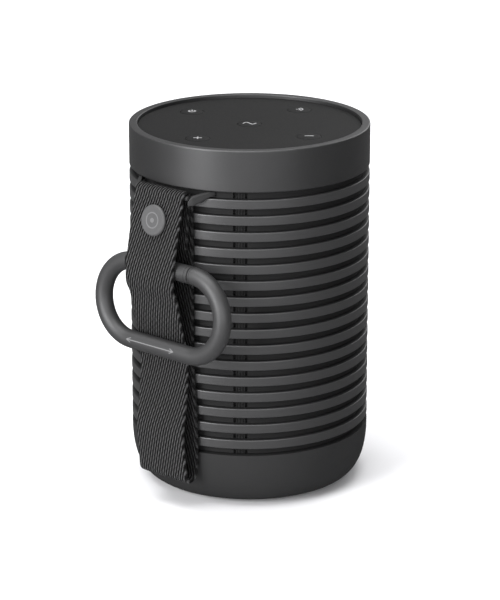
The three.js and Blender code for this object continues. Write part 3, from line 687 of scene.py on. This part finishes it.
def make_panel():
    edge = BODY_RADIUS - RIM_WIDTH - PANEL_GAP
    corners = [(0, PANEL_FOOT, 0), (edge, PANEL_FOOT, 0.1), (edge, PANEL_TOP, 0.3)]
    panel = turned("panel", [*corners, (0, PANEL_TOP, 0)])
    for name in BUTTON_NAMES:
        x, y, _ = button_middle(name)
        drill(panel, x, y, PANEL_FOOT, PANEL_TOP, BUTTON_RADIUS + BUTTON_GAP, 64)
    finish_piece(panel, "housing", "panel_rubber", "control_panel")


def make_button(name):
    low, high = cad_box("button_" + name)
    x, y, _ = button_middle(name)
    flange_top = PANEL_FOOT - GAP
    flange_foot = flange_top - FLANGE_HEIGHT
    flange = BUTTON_RADIUS + BUTTON_FLANGE
    dome_foot = high.z - BUTTON_DOME
    corners = [
        (0, low.z, 0), (STEM_RADIUS, low.z, 0.2), (STEM_RADIUS, flange_foot, 0.2),
        (flange, flange_foot, 0.2), (flange, flange_top, 0.2), (BUTTON_RADIUS, flange_top, 0.1),
        (BUTTON_RADIUS, dome_foot, 0.18),
    ]
    for share in (0.75, 0.5, 0.25, 0):
        corners.append((BUTTON_RADIUS * share, dome_foot + BUTTON_DOME * (1 - share**2), 0))
    cap = turned(name + "_cap", corners, 3, 96)
    place(cap, shift(x, y, 0))
    finish_piece(cap, name + "_button", "button_rubber", "button_" + name)


def stroke(points, width=ICON_LINE, sides=10):
    """The outline of a line of points with round ends."""
    points = [Vector(point) for point in points]
    half = width / 2
    left, right = [], []
    for index, point in enumerate(points):
        before, after = neighbours(points, index)
        run = (after - before).normalized()
        aside = Vector((-run.y, run.x)) * half
        left.append(tuple(point + aside))
        right.append(tuple(point - aside))
    ends = []
    for tip, inner in ((points[-1], points[-2]), (points[0], points[1])):
        heading = math.atan2(tip.y - inner.y, tip.x - inner.x)
        turns = [heading + math.pi * (0.5 - (step + 1) / sides) for step in range(sides - 1)]
        ends.append([(tip.x + half * math.cos(t), tip.y + half * math.sin(t)) for t in turns])
    return left + ends[0] + right[::-1] + ends[1]


def arc(middle, radius, first, last, steps=24):
    turns = [math.radians(first + (last - first) * step / steps) for step in range(steps + 1)]
    return [(middle[0] + radius * math.cos(t), middle[1] + radius * math.sin(t)) for t in turns]


def icon_strokes():
    """Generic marks, each a list of lines of points round the button's middle."""
    turns = [step / 10 for step in range(-10, 11)]
    return {
        "play": [[(2.1 * turn, -1.25 * math.sin(math.pi * turn)) for turn in turns]],
        "volume_up": [[(-1.2, 0), (1.2, 0)], [(0, -1.2), (0, 1.2)]],
        "volume_down": [[(-1.3, 0), (1.3, 0)]],
        "pair": [arc((-0.9, 0), r, -50, 50) for r in (1.1, 2.0)] + [[(-1.0, 0), (-0.8, 0)]],
        "power": [arc((0, 0), 1.15, -230, 50), [(0, 0.3), (0, 1.5)]],
    }


def make_icon(name, strokes):
    x, y, _ = button_middle(name)
    top = cad_box("button_" + name)[1].z
    lines = []
    for index, points in enumerate(strokes):
        low = top - ICON_ROOT - ICON_STEP * index
        high = top + ICON_HEIGHT * (1 - 0.1 * index)
        lines.append(slab("line", stroke(points), low, high, 0.02))
    mark = join_pieces(name + "_mark", lines)
    spin = Matrix.Rotation(CAMERA_AZIMUTH, 4, "Z")
    place(mark, shift(x, y, 0) @ spin)
    finish_piece(mark, name + "_button", "button_rubber", finish="pale_print")


# ---- Strap bar

ROD = joint_point("strap_swing")
ROD_REACH, ROD_HEIGHT = -ROD.y, ROD.z
ROD_RADIUS = 0.8
WEB_WIDTH = 21
WEB_THICKNESS = 1.2
KNEE_ANGLE = 21.5  # where a blade meets the drum
BLADE_ANGLE = 24  # where it ends, in the first groove
PEG_ANGLE = 23
PEG_DEPTH = 1.5  # that a peg stands in past the sleeve's bore


def round_slab_section(width, height, power=4, sides=40):
    """A superellipse of a given width and height, as (x, y)."""

    def stretched(part, size):
        return math.copysign(abs(part) ** (2 / power), part) * size / 2

    return [(stretched(x, width), stretched(y, height)) for x, y in circle(1, sides)]


def at_angle(degrees, radius):
    turn = math.radians(degrees)
    return Vector((radius * math.sin(turn), -radius * math.cos(turn), 0))


def make_strap_bar():
    start = WEB_WIDTH / 2 + 2 * GAP
    low_groove = COLLAR_FOOT - GROOVE_HEIGHT + GAP
    high_groove = COLLAR_FOOT - GAP
    # A blade's sections: place, thickness, lowest and highest height
    stations = [
        ((start - 0.1, -ROD_REACH, 0), 1.2, ROD_HEIGHT - 2.3, ROD_HEIGHT - 1.2),
        ((start + 0.6, -ROD_REACH + 0.6, 0), 1.5, ROD_HEIGHT - 2.3, ROD_HEIGHT + 0.4),
        ((start + 1.3, -ROD_REACH + 1.5, 0), 1.6, ROD_HEIGHT - 2.1, ROD_HEIGHT + 1),
        (at_angle(KNEE_ANGLE, BODY_RADIUS), 1.2, low_groove, high_groove),
        (at_angle(BLADE_ANGLE, GROOVE_RADIUS + 0.5), 0.7, low_groove + 0.2, high_groove - 0.1),
    ]
    steps = 8
    line = spline([station[0] for station in stations], steps)
    sizes = spline([station[1:] for station in stations], steps)
    route, sections = [], []
    for index, (point, (thick, low, high)) in enumerate(zip(line, sizes)):
        before, after = neighbours(line, index)
        run = after - before
        middle = Vector((point.x, point.y, (low + high) / 2))
        route.append(along(run, middle, run.cross(UP)))
        sections.append(round_slab_section(thick, high - low, 7))
    blade = swept("blade", route, sections)
    other = swept("blade", [Matrix.Scale(-1, 4, Vector((1, 0, 0))) @ m for m in route], sections)
    reach = start + GAP
    turn = shift(0, -ROD_REACH, ROD_HEIGHT) @ Matrix.Rotation(math.pi / 2, 4, "Y")
    rod_route = [turn @ shift(0, 0, x) for x in (-reach, reach)]
    rod = swept("rod", rod_route, [circle(ROD_RADIUS)] * 2)
    pegs = []
    for side in (1, -1):
        direction = at_angle(side * PEG_ANGLE, 1)
        middle = UP * (low_groove + high_groove) / 2
        peg_route = [along(direction, middle + direction * reach, UP)
                     for reach in (SLEEVE_BORE - PEG_DEPTH, GROOVE_RADIUS + 0.2)]
        pegs.append(swept("peg", peg_route, [round_slab_section(1.2, 1.9)] * 2))
    bar = join_pieces("bar", [blade, other, rod, *pegs])
    finish_piece(bar, "housing", "coated_metal", "strap_bar", finish="bar_coating")


# ---- Webbing: the same middle line as the CAD solid's, with a weave and a slight drift

RING = joint_point("carabiner_swing")
RING_REACH, RING_HEIGHT = -RING.y, RING.z
WIRE_RADIUS = 3
END_RADIUS = 13.42
STRAIGHT = 25.86
RING_SHIFT = 2.25
GATE_AXIS = JOINTS["gate_swing"]["axis"]
TILT = math.atan2(GATE_AXIS[2], -GATE_AXIS[1])
FOLD_RADIUS = ROD_RADIUS + GAP + WEB_THICKNESS / 2
FRONT_REACH = RING_REACH + WIRE_RADIUS + GAP + WEB_THICKNESS / 2
LOWER_BAR_REACH = RING_REACH + 2 * END_RADIUS * math.sin(TILT)
LOWER_BAR_HEIGHT = RING_HEIGHT - 2 * END_RADIUS * math.cos(TILT)
BEHIND_REACH = LOWER_BAR_REACH - WIRE_RADIUS - GAP - WEB_THICKNESS / 2
BACK_REACH = BODY_RADIUS + GAP + WEB_THICKNESS / 2
BOTTOM_FOLD = 2.2
BOTTOM_REACH = BACK_REACH + BOTTOM_FOLD
BOTTOM_MIDDLE = cad_box("strap_webbing")[0].z + BOTTOM_FOLD + WEB_THICKNESS / 2
SNAP_DROP = 8.5
TAIL_LENGTH = 17.4
STRETCH_TOP = 1.5  # from the rod down to the straight stretch that carries the snap
STRETCH_OUT = 0.15
STRETCH_IN = 1
STRETCH_FOOT = 2.2  # wire radii, from the ring's upper run up to its foot
WEB_STEP = 0.4  # between two rows of the webbing's mesh
WEB_COLUMNS = 84
WEB_SHARP_ANGLE = 60
WEB_EDGE = 0.45  # the rounded edge's width
BACK_SHIFT = 1.5  # of the back ply's foot, to the right
BACK_LEAN = 0.1  # of its top, to the left
FRONT_SHIFT = 0.5  # of the front ply, to the left
CROWN = 0.2  # that its edges curl back
FRONT_START = 24  # along the webbing, where the front ply begins
FRONT_EASE = 12  # over which it drifts to the left
CROWN_EASE = 10  # over which its edges begin to curl
# Stretches along the webbing, from its lowest point, in which it
HUG = (-3, 9)  # comes to lie against the round drum
SHIFT_START = (-30, 4)  # drifts to the right
SHIFT_END = (14, 45)  # drifts back
FRONT_END = (-55, -25)  # leaves its place to the left
EDGE_RELIEF = 0.5  # share of the relief that is left at the edges
EDGE_FADE = (0.2, 1.6)  # from the edge, where the relief begins to rise and is whole


def snap_stretch(drop):
    """A point of the straight stretch that carries the snap, below the rod."""
    top_reach, foot_reach = ROD_REACH + FOLD_RADIUS + STRETCH_OUT, FRONT_REACH - STRETCH_IN
    foot_drop = ROD_HEIGHT - RING_HEIGHT - STRETCH_FOOT * WIRE_RADIUS
    share = (drop - STRETCH_TOP) / (foot_drop - STRETCH_TOP)
    return Vector((top_reach + share * (foot_reach - top_reach), ROD_HEIGHT - drop))


def front_line():
    """The front ply's middle line, down from the rod, through listed points."""
    belly_top = LOWER_BAR_HEIGHT - 3 * WIRE_RADIUS
    belly = [(0.5, 0.71), (1.6, 0.55), (2.4, 0.42), (2.5, 0.26)]
    snap_reach = SNAP_RADIUS + 1.15
    points = [
        (ROD_REACH + FOLD_RADIUS, ROD_HEIGHT),
        *(snap_stretch(SNAP_DROP + side * snap_reach) for side in (-1, 0, 1)),
        (FRONT_REACH, RING_HEIGHT + 0.4 * WIRE_RADIUS),
        (FRONT_REACH + 0.4, RING_HEIGHT - 1.4 * WIRE_RADIUS),
        (FRONT_REACH, RING_HEIGHT - 2.2 * WIRE_RADIUS),
        (FRONT_REACH - 1.6, RING_HEIGHT - 3.35 * WIRE_RADIUS),
        (FRONT_REACH - 3, RING_HEIGHT - END_RADIUS - WIRE_RADIUS),
        (BEHIND_REACH, LOWER_BAR_HEIGHT), (BEHIND_REACH - 0.45, belly_top),
    ]
    points += [(BOTTOM_REACH + bulge, BOTTOM_MIDDLE + share * (belly_top - BOTTOM_MIDDLE))
               for bulge, share in belly]
    points.append((BOTTOM_REACH + BOTTOM_FOLD, BOTTOM_MIDDLE))
    return spline(points, 12)


def tail_line():
    stack = SOCKET_THICKNESS + STUD_THICKNESS + 3 * GAP
    reach = snap_stretch(SNAP_DROP).x - WEB_THICKNESS - stack - 0.45
    rod_back = ROD_REACH - FOLD_RADIUS
    return spline([
        (reach + 0.9, ROD_HEIGHT - TAIL_LENGTH),
        (reach + 0.45, ROD_HEIGHT - (SNAP_DROP + TAIL_LENGTH) / 2),
        (reach, ROD_HEIGHT - SNAP_DROP), ((reach + rod_back) / 2, ROD_HEIGHT - SNAP_DROP / 2),
        (rod_back, ROD_HEIGHT),
    ], 10)


def web_line():
    """Middle line of the whole strap as (reach, height), from the tail to the back ply's top."""
    top_fold = arc((ROD_REACH, ROD_HEIGHT), FOLD_RADIUS, 180, 0)
    bottom_fold = arc((BOTTOM_REACH, BOTTOM_MIDDLE), BOTTOM_FOLD, 0, -180)
    back_top = (BACK_REACH, heights("strap_bar")[0] - 1.6)
    line = [*tail_line()[:-1], *top_fold, *front_line()[1:-1], *bottom_fold, back_top]
    return [Vector(point) for point in line]


def resampled(line, step):
    """Points at even distances along a line, with the distance run so far."""
    runs = [0.0]
    for before, after in zip(line, line[1:]):
        runs.append(runs[-1] + (after - before).length)
    count = round(runs[-1] / step)
    points, index = [], 0
    for number in range(count + 1):
        run = runs[-1] * number / count
        while index < len(runs) - 2 and runs[index + 1] < run:
            index += 1
        share = (run - runs[index]) / (runs[index + 1] - runs[index])
        points.append((line[index].lerp(line[index + 1], share), run))
    return points


def smooth_share(value, start, end):
    share = min(max((value - start) / (end - start), 0), 1)
    return share * share * (3 - 2 * share)


def web_section():
    """The webbing's section: (across, away from the middle line as a share of half a ply)."""
    flat = WEB_WIDTH / 2 - WEB_EDGE
    face = [-flat + 2 * flat * column / WEB_COLUMNS for column in range(WEB_COLUMNS + 1)]
    turns = [math.pi * step / 6 for step in range(1, 6)]
    edge = [(WEB_EDGE * math.sin(turn), math.cos(turn)) for turn in turns]
    section = [(across, 1.0) for across in face]
    section += [(flat + out, away) for out, away in edge]
    section += [(across, -1.0) for across in reversed(face)]
    section += [(-flat - out, -away) for out, away in edge]
    return section


def weave_height(across, run):
    """The twill's relief at a point, in millimetres."""
    lean = math.radians(TWILL_LEAN)
    rows = (run * math.cos(lean) + (across + WEB_WIDTH / 2) * math.sin(lean)) / TWILL_PITCH
    inside = smooth_share(WEB_WIDTH / 2 - abs(across), *EDGE_FADE)
    fade = EDGE_RELIEF + (1 - EDGE_RELIEF) * inside
    return TWILL_HEIGHT * fade * (math.sin(2 * math.pi * rows) - 0.5)


def make_webbing():
    samples = resampled(web_line(), WEB_STEP)
    section = web_section()
    half = WEB_WIDTH / 2
    bottom_run = min(samples, key=lambda sample: sample[0].y)[1]
    points, weave = [], []
    for index, (middle, run) in enumerate(samples):
        (before, _), (after, _) = neighbours(samples, index)
        tangent = (after - before).normalized()
        outward = Vector((-tangent.y, tangent.x))
        hug, right, right_end, left_end = (
            smooth_share(run, bottom_run + first, bottom_run + last)
            for first, last in (HUG, SHIFT_START, SHIFT_END, FRONT_END))
        left = smooth_share(run, FRONT_START, FRONT_START + FRONT_EASE)
        aside = BACK_SHIFT * right - (BACK_SHIFT + BACK_LEAN) * right_end
        aside -= FRONT_SHIFT * left * (1 - left_end)
        crown = CROWN * smooth_share(run, FRONT_START, FRONT_START + CROWN_EASE) * (1 - hug)
        for across, away in section:
            thickness = WEB_THICKNESS / 2 * away
            if abs(away) == 1:
                thickness += away * weave_height(across, run)
            curve = BACK_REACH - math.sqrt(BACK_REACH**2 - across**2)
            bend = crown * (across / half) ** 2 + hug * curve
            spot = middle + outward * thickness
            points.append((across + aside, bend - spot.x, spot.y))
            weave.append((across + half, run, 0))
    faces = skin(len(samples), len(section))
    web = new_piece("webbing", points, faces, WEB_SHARP_ANGLE, weave)
    FINISHES["webbing"] = webbing_finish(FRONT_START - SHADE_EDGE / 2, bottom_run)
    finish_piece(web, "strap", "webbing", "strap_webbing")


# ---- Snap fastener: made flat, with z = 0 on the front ply's outer face

SNAP_RADIUS = 5.15
SNAP_THICKNESS = 1.2
SNAP_SHANK = 1.4
SNAP_EDGE = 0.45
CAP_FOOT = 0.1  # from the webbing to the cap's hollow side
SOCKET_RADIUS = 4.2
SOCKET_THICKNESS = 0.9
STUD_RADIUS = 3.9
STUD_THICKNESS = 0.6
MARK_RADII = (2.3, 2.75)
DOT_RADIUS = 0.8
MARK_ROOT = 0.4
RING_RISE = 0.03
DOT_RISE = 0.05


def snap_matrix():
    run = snap_stretch(SNAP_DROP + 1) - snap_stretch(SNAP_DROP)
    outward = Vector((-run.y, run.x)).normalized()
    spot = snap_stretch(SNAP_DROP) + outward * WEB_THICKNESS / 2
    turn = Matrix.Rotation(math.pi / 2 - math.atan2(outward.y, outward.x), 4, "X")
    return shift(0, -spot.x, spot.y) @ turn


def snap_piece(name, corners, columns=96):
    """A turned piece of the snap, put in its place."""
    return place(turned(name, corners, columns=columns), snap_matrix())


def make_snap_cap():
    top = GAP + SNAP_THICKNESS
    tip = -WEB_THICKNESS - GAP - SOCKET_THICKNESS
    cap = [
        (0, tip, 0), (SNAP_SHANK, tip, 0.2), (SNAP_SHANK, CAP_FOOT, 0.2),
        (SNAP_RADIUS - SNAP_EDGE, CAP_FOOT, 0.2), (SNAP_RADIUS, SNAP_EDGE, 0.3),
        (SNAP_RADIUS, top - SNAP_EDGE, 0.35), (SNAP_RADIUS - SNAP_EDGE, top - 0.06, 0.3),
        (0, top, 0),
    ]
    finish_piece(snap_piece("snap_top", cap, 128), "strap", "snap_metal", "snap_cap")
    root, ring_top, dot_top = top - MARK_ROOT, top + RING_RISE, top + DOT_RISE
    inner, outer = MARK_RADII
    ring = [(inner, root, 0), (outer, root, 0), (outer, ring_top, 0.08), (inner, ring_top, 0.08)]
    dot = [(0, root, 0), (DOT_RADIUS, root, 0), (DOT_RADIUS, dot_top, 0.1), (0, dot_top, 0)]
    mark = join_pieces("snap_mark", [snap_piece("mark", shape) for shape in (ring, dot)])
    finish_piece(mark, "strap", "snap_metal", finish="snap_mark")


def make_snap_back():
    """The socket and the stud, behind the front ply."""
    high = -WEB_THICKNESS - GAP
    low = high - SOCKET_THICKNESS
    bore = SNAP_SHANK + GAP
    socket = [
        (bore, low, 0.1), (SOCKET_RADIUS - 0.8, low, 0.2),
        (SOCKET_RADIUS, (low + high) / 2, 0.25), (SOCKET_RADIUS, high, 0.2), (bore, high, 0.1),
    ]
    finish_piece(snap_piece("snap_ring", socket), "strap", "bright_steel", "snap_socket")
    high = low - GAP
    low = high - STUD_THICKNESS
    stud = [
        (0, low, 0), (STUD_RADIUS - 0.6, low, 0.15), (STUD_RADIUS, (low + high) / 2, 0.15),
        (STUD_RADIUS, high, 0.15), (0, high, 0),
    ]
    finish_piece(snap_piece("snap_base", stud), "strap", "bright_steel", "snap_stud")


# ---- Carabiner: made flat in X and Y, with the gate's axis along y = 0

PIN_PLACE = -9.5
PIN_RADIUS = 0.8
PIN_GAP = 0.1
PIN_REACH = 0.83  # of the wire's radius
NOSE_PLACE = 14.4
SEAM_FROM_NOSE = 0.85
SEAM_FROM_TIP = 1.1
WIRE_CHAMFER = 0.25
WIRE_GROOVE = 0.12
WIRE_STEP = 0.45
TONGUE_RADIUS = 2.2
TONGUE_THICKNESS = 2
SPRING_LENGTH = 7
SPRING_BORE = 1.3
LEFT_END = RING_SHIFT - STRAIGHT / 2
RIGHT_END = RING_SHIFT + STRAIGHT / 2
SHOULDER = PIN_PLACE - WIRE_RADIUS - GAP
LEAD = math.asin((LEFT_END - SHOULDER) / END_RADIUS)  # of the ring's left end, past its top
LEFT_RUN = END_RADIUS * (math.pi - LEAD)
RIGHT_RUN = END_RADIUS * math.pi
RING_RUN = LEFT_RUN + STRAIGHT + RIGHT_RUN + RIGHT_END - NOSE_PLACE - GAP


def ring_matrix():
    turn = Matrix.Rotation(math.pi / 2 - TILT, 4, "X")
    return shift(0, -RING_REACH, RING_HEIGHT) @ turn


def ring_route(run):
    """The point and direction at a distance along the ring, from the gate's hinge to its nose."""
    if run < LEFT_RUN:
        turn = math.pi / 2 + LEAD + run / END_RADIUS
        centre = LEFT_END
    elif run < LEFT_RUN + STRAIGHT:
        return Vector((LEFT_END + run - LEFT_RUN, -2 * END_RADIUS, 0)), Vector((1, 0, 0))
    elif run < LEFT_RUN + STRAIGHT + RIGHT_RUN:
        turn = -math.pi / 2 + (run - LEFT_RUN - STRAIGHT) / END_RADIUS
        centre = RIGHT_END
    else:
        past = run - LEFT_RUN - STRAIGHT - RIGHT_RUN
        return Vector((RIGHT_END - past, 0, 0)), Vector((-1, 0, 0))
    spot = Vector((centre + END_RADIUS * math.cos(turn), END_RADIUS * (math.sin(turn) - 1), 0))
    return spot, Vector((-math.sin(turn), math.cos(turn), 0))


def wire_stations(length, seam):
    """(distance, radius) along a wire: eased ends, and a fine groove at the seam."""
    eased = WIRE_RADIUS - WIRE_CHAMFER
    stations = {0: eased, length: eased}
    stations.update({WIRE_CHAMFER: WIRE_RADIUS, length - WIRE_CHAMFER: WIRE_RADIUS})
    for share, depth in ((-1, 0), (-0.5, WIRE_GROOVE), (0.5, WIRE_GROOVE), (1, 0)):
        stations[seam + share * WIRE_GROOVE] = WIRE_RADIUS - depth
    for number in range(1, int(length / WIRE_STEP)):
        run = number * WIRE_STEP
        if all(abs(run - other) > WIRE_STEP for other in stations):
            stations[run] = WIRE_RADIUS
    return sorted(stations.items())


def make_ring_body():
    stations = wire_stations(RING_RUN, RING_RUN - SEAM_FROM_NOSE)
    route = []
    for run, _ in stations:
        spot, tangent = ring_route(run)
        route.append(along(tangent, spot, UP))
    wire = swept("wire", route, [circle(radius) for _, radius in stations])
    half = TONGUE_THICKNESS / 2
    root = SHOULDER - WIRE_RADIUS / 2
    outline = arc((PIN_PLACE, 0), TONGUE_RADIUS, -90, 90)
    outline += [(root, TONGUE_RADIUS), (root, -TONGUE_RADIUS)]
    tongue = slab("tongue", outline, -half, half, 0.1)
    drill(tongue, PIN_PLACE, 0, -half, half, PIN_RADIUS + PIN_GAP)
    body = place(join_pieces("ring", [wire, tongue]), ring_matrix())
    finish_piece(body, "carabiner", "coated_metal", "carabiner_body")


def make_gate():
    """The gate's wire, with a ball end on the pin, a slot for the tongue and the spring's bore."""
    steps = 12
    start = PIN_PLACE - WIRE_RADIUS
    stations = [(start, 0.05)]
    for step in range(1, steps + 1):
        turn = math.pi / 2 * step / steps
        stations.append((PIN_PLACE - WIRE_RADIUS * math.cos(turn), WIRE_RADIUS * math.sin(turn)))
    length = NOSE_PLACE - PIN_PLACE
    for run, radius in wire_stations(length, length - SEAM_FROM_TIP)[2:]:
        stations.append((PIN_PLACE + run, radius))
    turn = Matrix.Rotation(math.pi / 2, 4, "Y")
    route = [shift(x, 0, 0) @ turn for x, _ in stations]
    gate = swept("gate", route, [circle(radius) for _, radius in stations])
    slot_end = PIN_PLACE + TONGUE_RADIUS + GAP
    half = TONGUE_THICKNESS / 2 + GAP
    reach = WIRE_RADIUS + OVERCUT
    left = start - OVERCUT
    slot = [(left, -reach), (slot_end, -reach), (slot_end, reach), (left, reach)]
    cut_out(gate, slab("slot", slot, -half, half, 0))
    bore_ends = (slot_end - OVERCUT / 2, slot_end + SPRING_LENGTH + 2 * GAP)
    bore = [shift(x, 0, 0) @ turn for x in bore_ends]
    cut_out(gate, swept("bore", bore, [circle(SPRING_BORE)] * 2))
    drill(gate, PIN_PLACE, 0, -WIRE_RADIUS, WIRE_RADIUS, PIN_RADIUS + PIN_GAP)
    place(gate, ring_matrix())
    finish_piece(gate, "gate", "coated_metal", "carabiner_gate")


def make_gate_pin():
    end = WIRE_RADIUS * PIN_REACH
    corners = [(0, -end, 0), (PIN_RADIUS, -end, 0.2), (PIN_RADIUS, end, 0.2), (0, end, 0)]
    pin = turned("pin", corners, columns=48)
    place(pin, ring_matrix() @ shift(PIN_PLACE, 0, 0))
    finish_piece(pin, "carabiner", "bright_steel", "gate_pin")


def make_gate_spring():
    coil_radius, wire, turns, sides = 0.82, 0.14, 9, 20
    start = PIN_PLACE + TONGUE_RADIUS + 2 * GAP
    count = turns * sides
    route = []
    for step in range(count + 1):
        turn = 2 * math.pi * step / sides
        x = start + wire + (SPRING_LENGTH - 2 * wire) * step / count
        y, z = coil_radius * math.cos(turn), coil_radius * math.sin(turn)
        pitch = SPRING_LENGTH / turns / (2 * math.pi)
        route.append(along(Vector((pitch, -z, y)), Vector((x, y, z)), Vector((1, 0, 0))))
    spring = swept("spring", route, [circle(wire, 10)] * len(route))
    place(spring, ring_matrix())
    finish_piece(spring, "gate", "bright_steel", "gate_spring")


MARK_HALF = 10.4
MARK_HEAD = (1.6, 0.75)
MARK_LINE = 0.32
MARK_UP = math.radians(12)  # round the wire, from its outermost line
MARK_LEVELS = (0.02, 0.07)
MARK_SINK = 0.03


def make_ring_mark():
    """A plain double-headed arrow, printed on the lower bar's outer side."""
    inner = MARK_HALF - 0.3
    long, wide = MARK_HEAD
    lines = [[(-inner + 2 * inner * step / 40, 0) for step in range(41)]]
    for side in (1, -1):
        shares = [step / 8 for step in range(9)]
        barb = [(side * (MARK_HALF - long * share), wide * share) for share in shares]
        lines += [barb, [(x, -y) for x, y in barb]]
    slabs = [slab("line", stroke(line, MARK_LINE), *MARK_LEVELS, 0.02) for line in lines]
    mark = join_pieces("ring_mark", slabs)
    for corner in mark.data.vertices:
        x, y, z = corner.co / MM
        turn = MARK_UP + y / WIRE_RADIUS
        radius = WIRE_RADIUS + z - MARK_SINK
        corner.co = Vector((x, radius * math.sin(turn), radius * math.cos(turn))) * MM
    place(mark, ring_matrix() @ shift(0, -2 * END_RADIUS, 0))
    finish_piece(mark, "carabiner", "coated_metal", finish="ring_print")


# ---- What stays from the CAD


def dress_inner_nodes():
    slots = {part["node"]: part["material_slot"] for part in frame["record"]["subparts"]}
    for name, node in frame["nodes"].items():
        if not node.hide_render:
            node.data.materials.clear()
            node.data.materials.append(FINISHES[slots[name]])


# ---- Studio


def make_floor():
    half = 6000
    corners = [(-half, -half, 0), (half, -half, 0), (half, half, 0), (-half, half, 0)]
    floor = new_piece("floor", corners, [(0, 1, 2, 3)])
    floor.data.materials.append(grained("pale_floor", grey(0.86), 0.9, 0, 0.1, 60, 1e-6, 0.01))
    floor.visible_glossy = False


# Azimuth and elevation in degrees, then distance, width and height in metres, and radiance
SOFTBOXES = {
    "key": (-6, 16, 1.2, 0.5, 0.9, 13.5),
    "fill": (48, 14, 1.6, 1.8, 0.9, 2.8),
    "top": (-49, 81, 1.8, 1.9, 1.9, 4.9),
    "back": (190, 26, 1.6, 1.2, 1.0, 2.4),
}
AMBIENT = 0.19


def make_softbox(name, azimuth, elevation, distance, width, height, radiance):
    """A rectangular light that faces the drum."""
    light = add_object(name, bpy.data.lights.new(name, "AREA"))
    light.data.shape = "RECTANGLE"
    light.data.size, light.data.size_y = width, height
    light.data.energy = radiance * math.pi * width * height
    lift = math.radians(elevation)
    back = at_angle(azimuth, math.cos(lift))
    back.z = math.sin(lift)
    light.location = Vector((0, 0, BODY_HEIGHT / 2 * MM)) + back * distance
    light.rotation_euler = back.to_track_quat("Z", "Y").to_euler()


def make_studio():
    scene = bpy.context.scene
    scene.view_settings.view_transform = "Standard"
    world = bpy.data.worlds.new("studio")
    world.use_nodes = True
    background = world.node_tree.nodes["Background"].inputs
    background["Color"].default_value = (1, 1, 1, 1)
    background["Strength"].default_value = AMBIENT
    scene.world = world
    for name, softbox in SOFTBOXES.items():
        make_softbox(name, *softbox)


make_collar()
make_sleeve()
make_base()
make_foot()
make_port()
make_panel()
for button, strokes in icon_strokes().items():
    make_button(button)
    make_icon(button, strokes)
make_strap_bar()
make_webbing()
make_snap_cap()
make_snap_back()
make_ring_body()
make_gate()
make_gate_pin()
make_gate_spring()
make_ring_mark()
dress_inner_nodes()
make_floor()
make_studio()
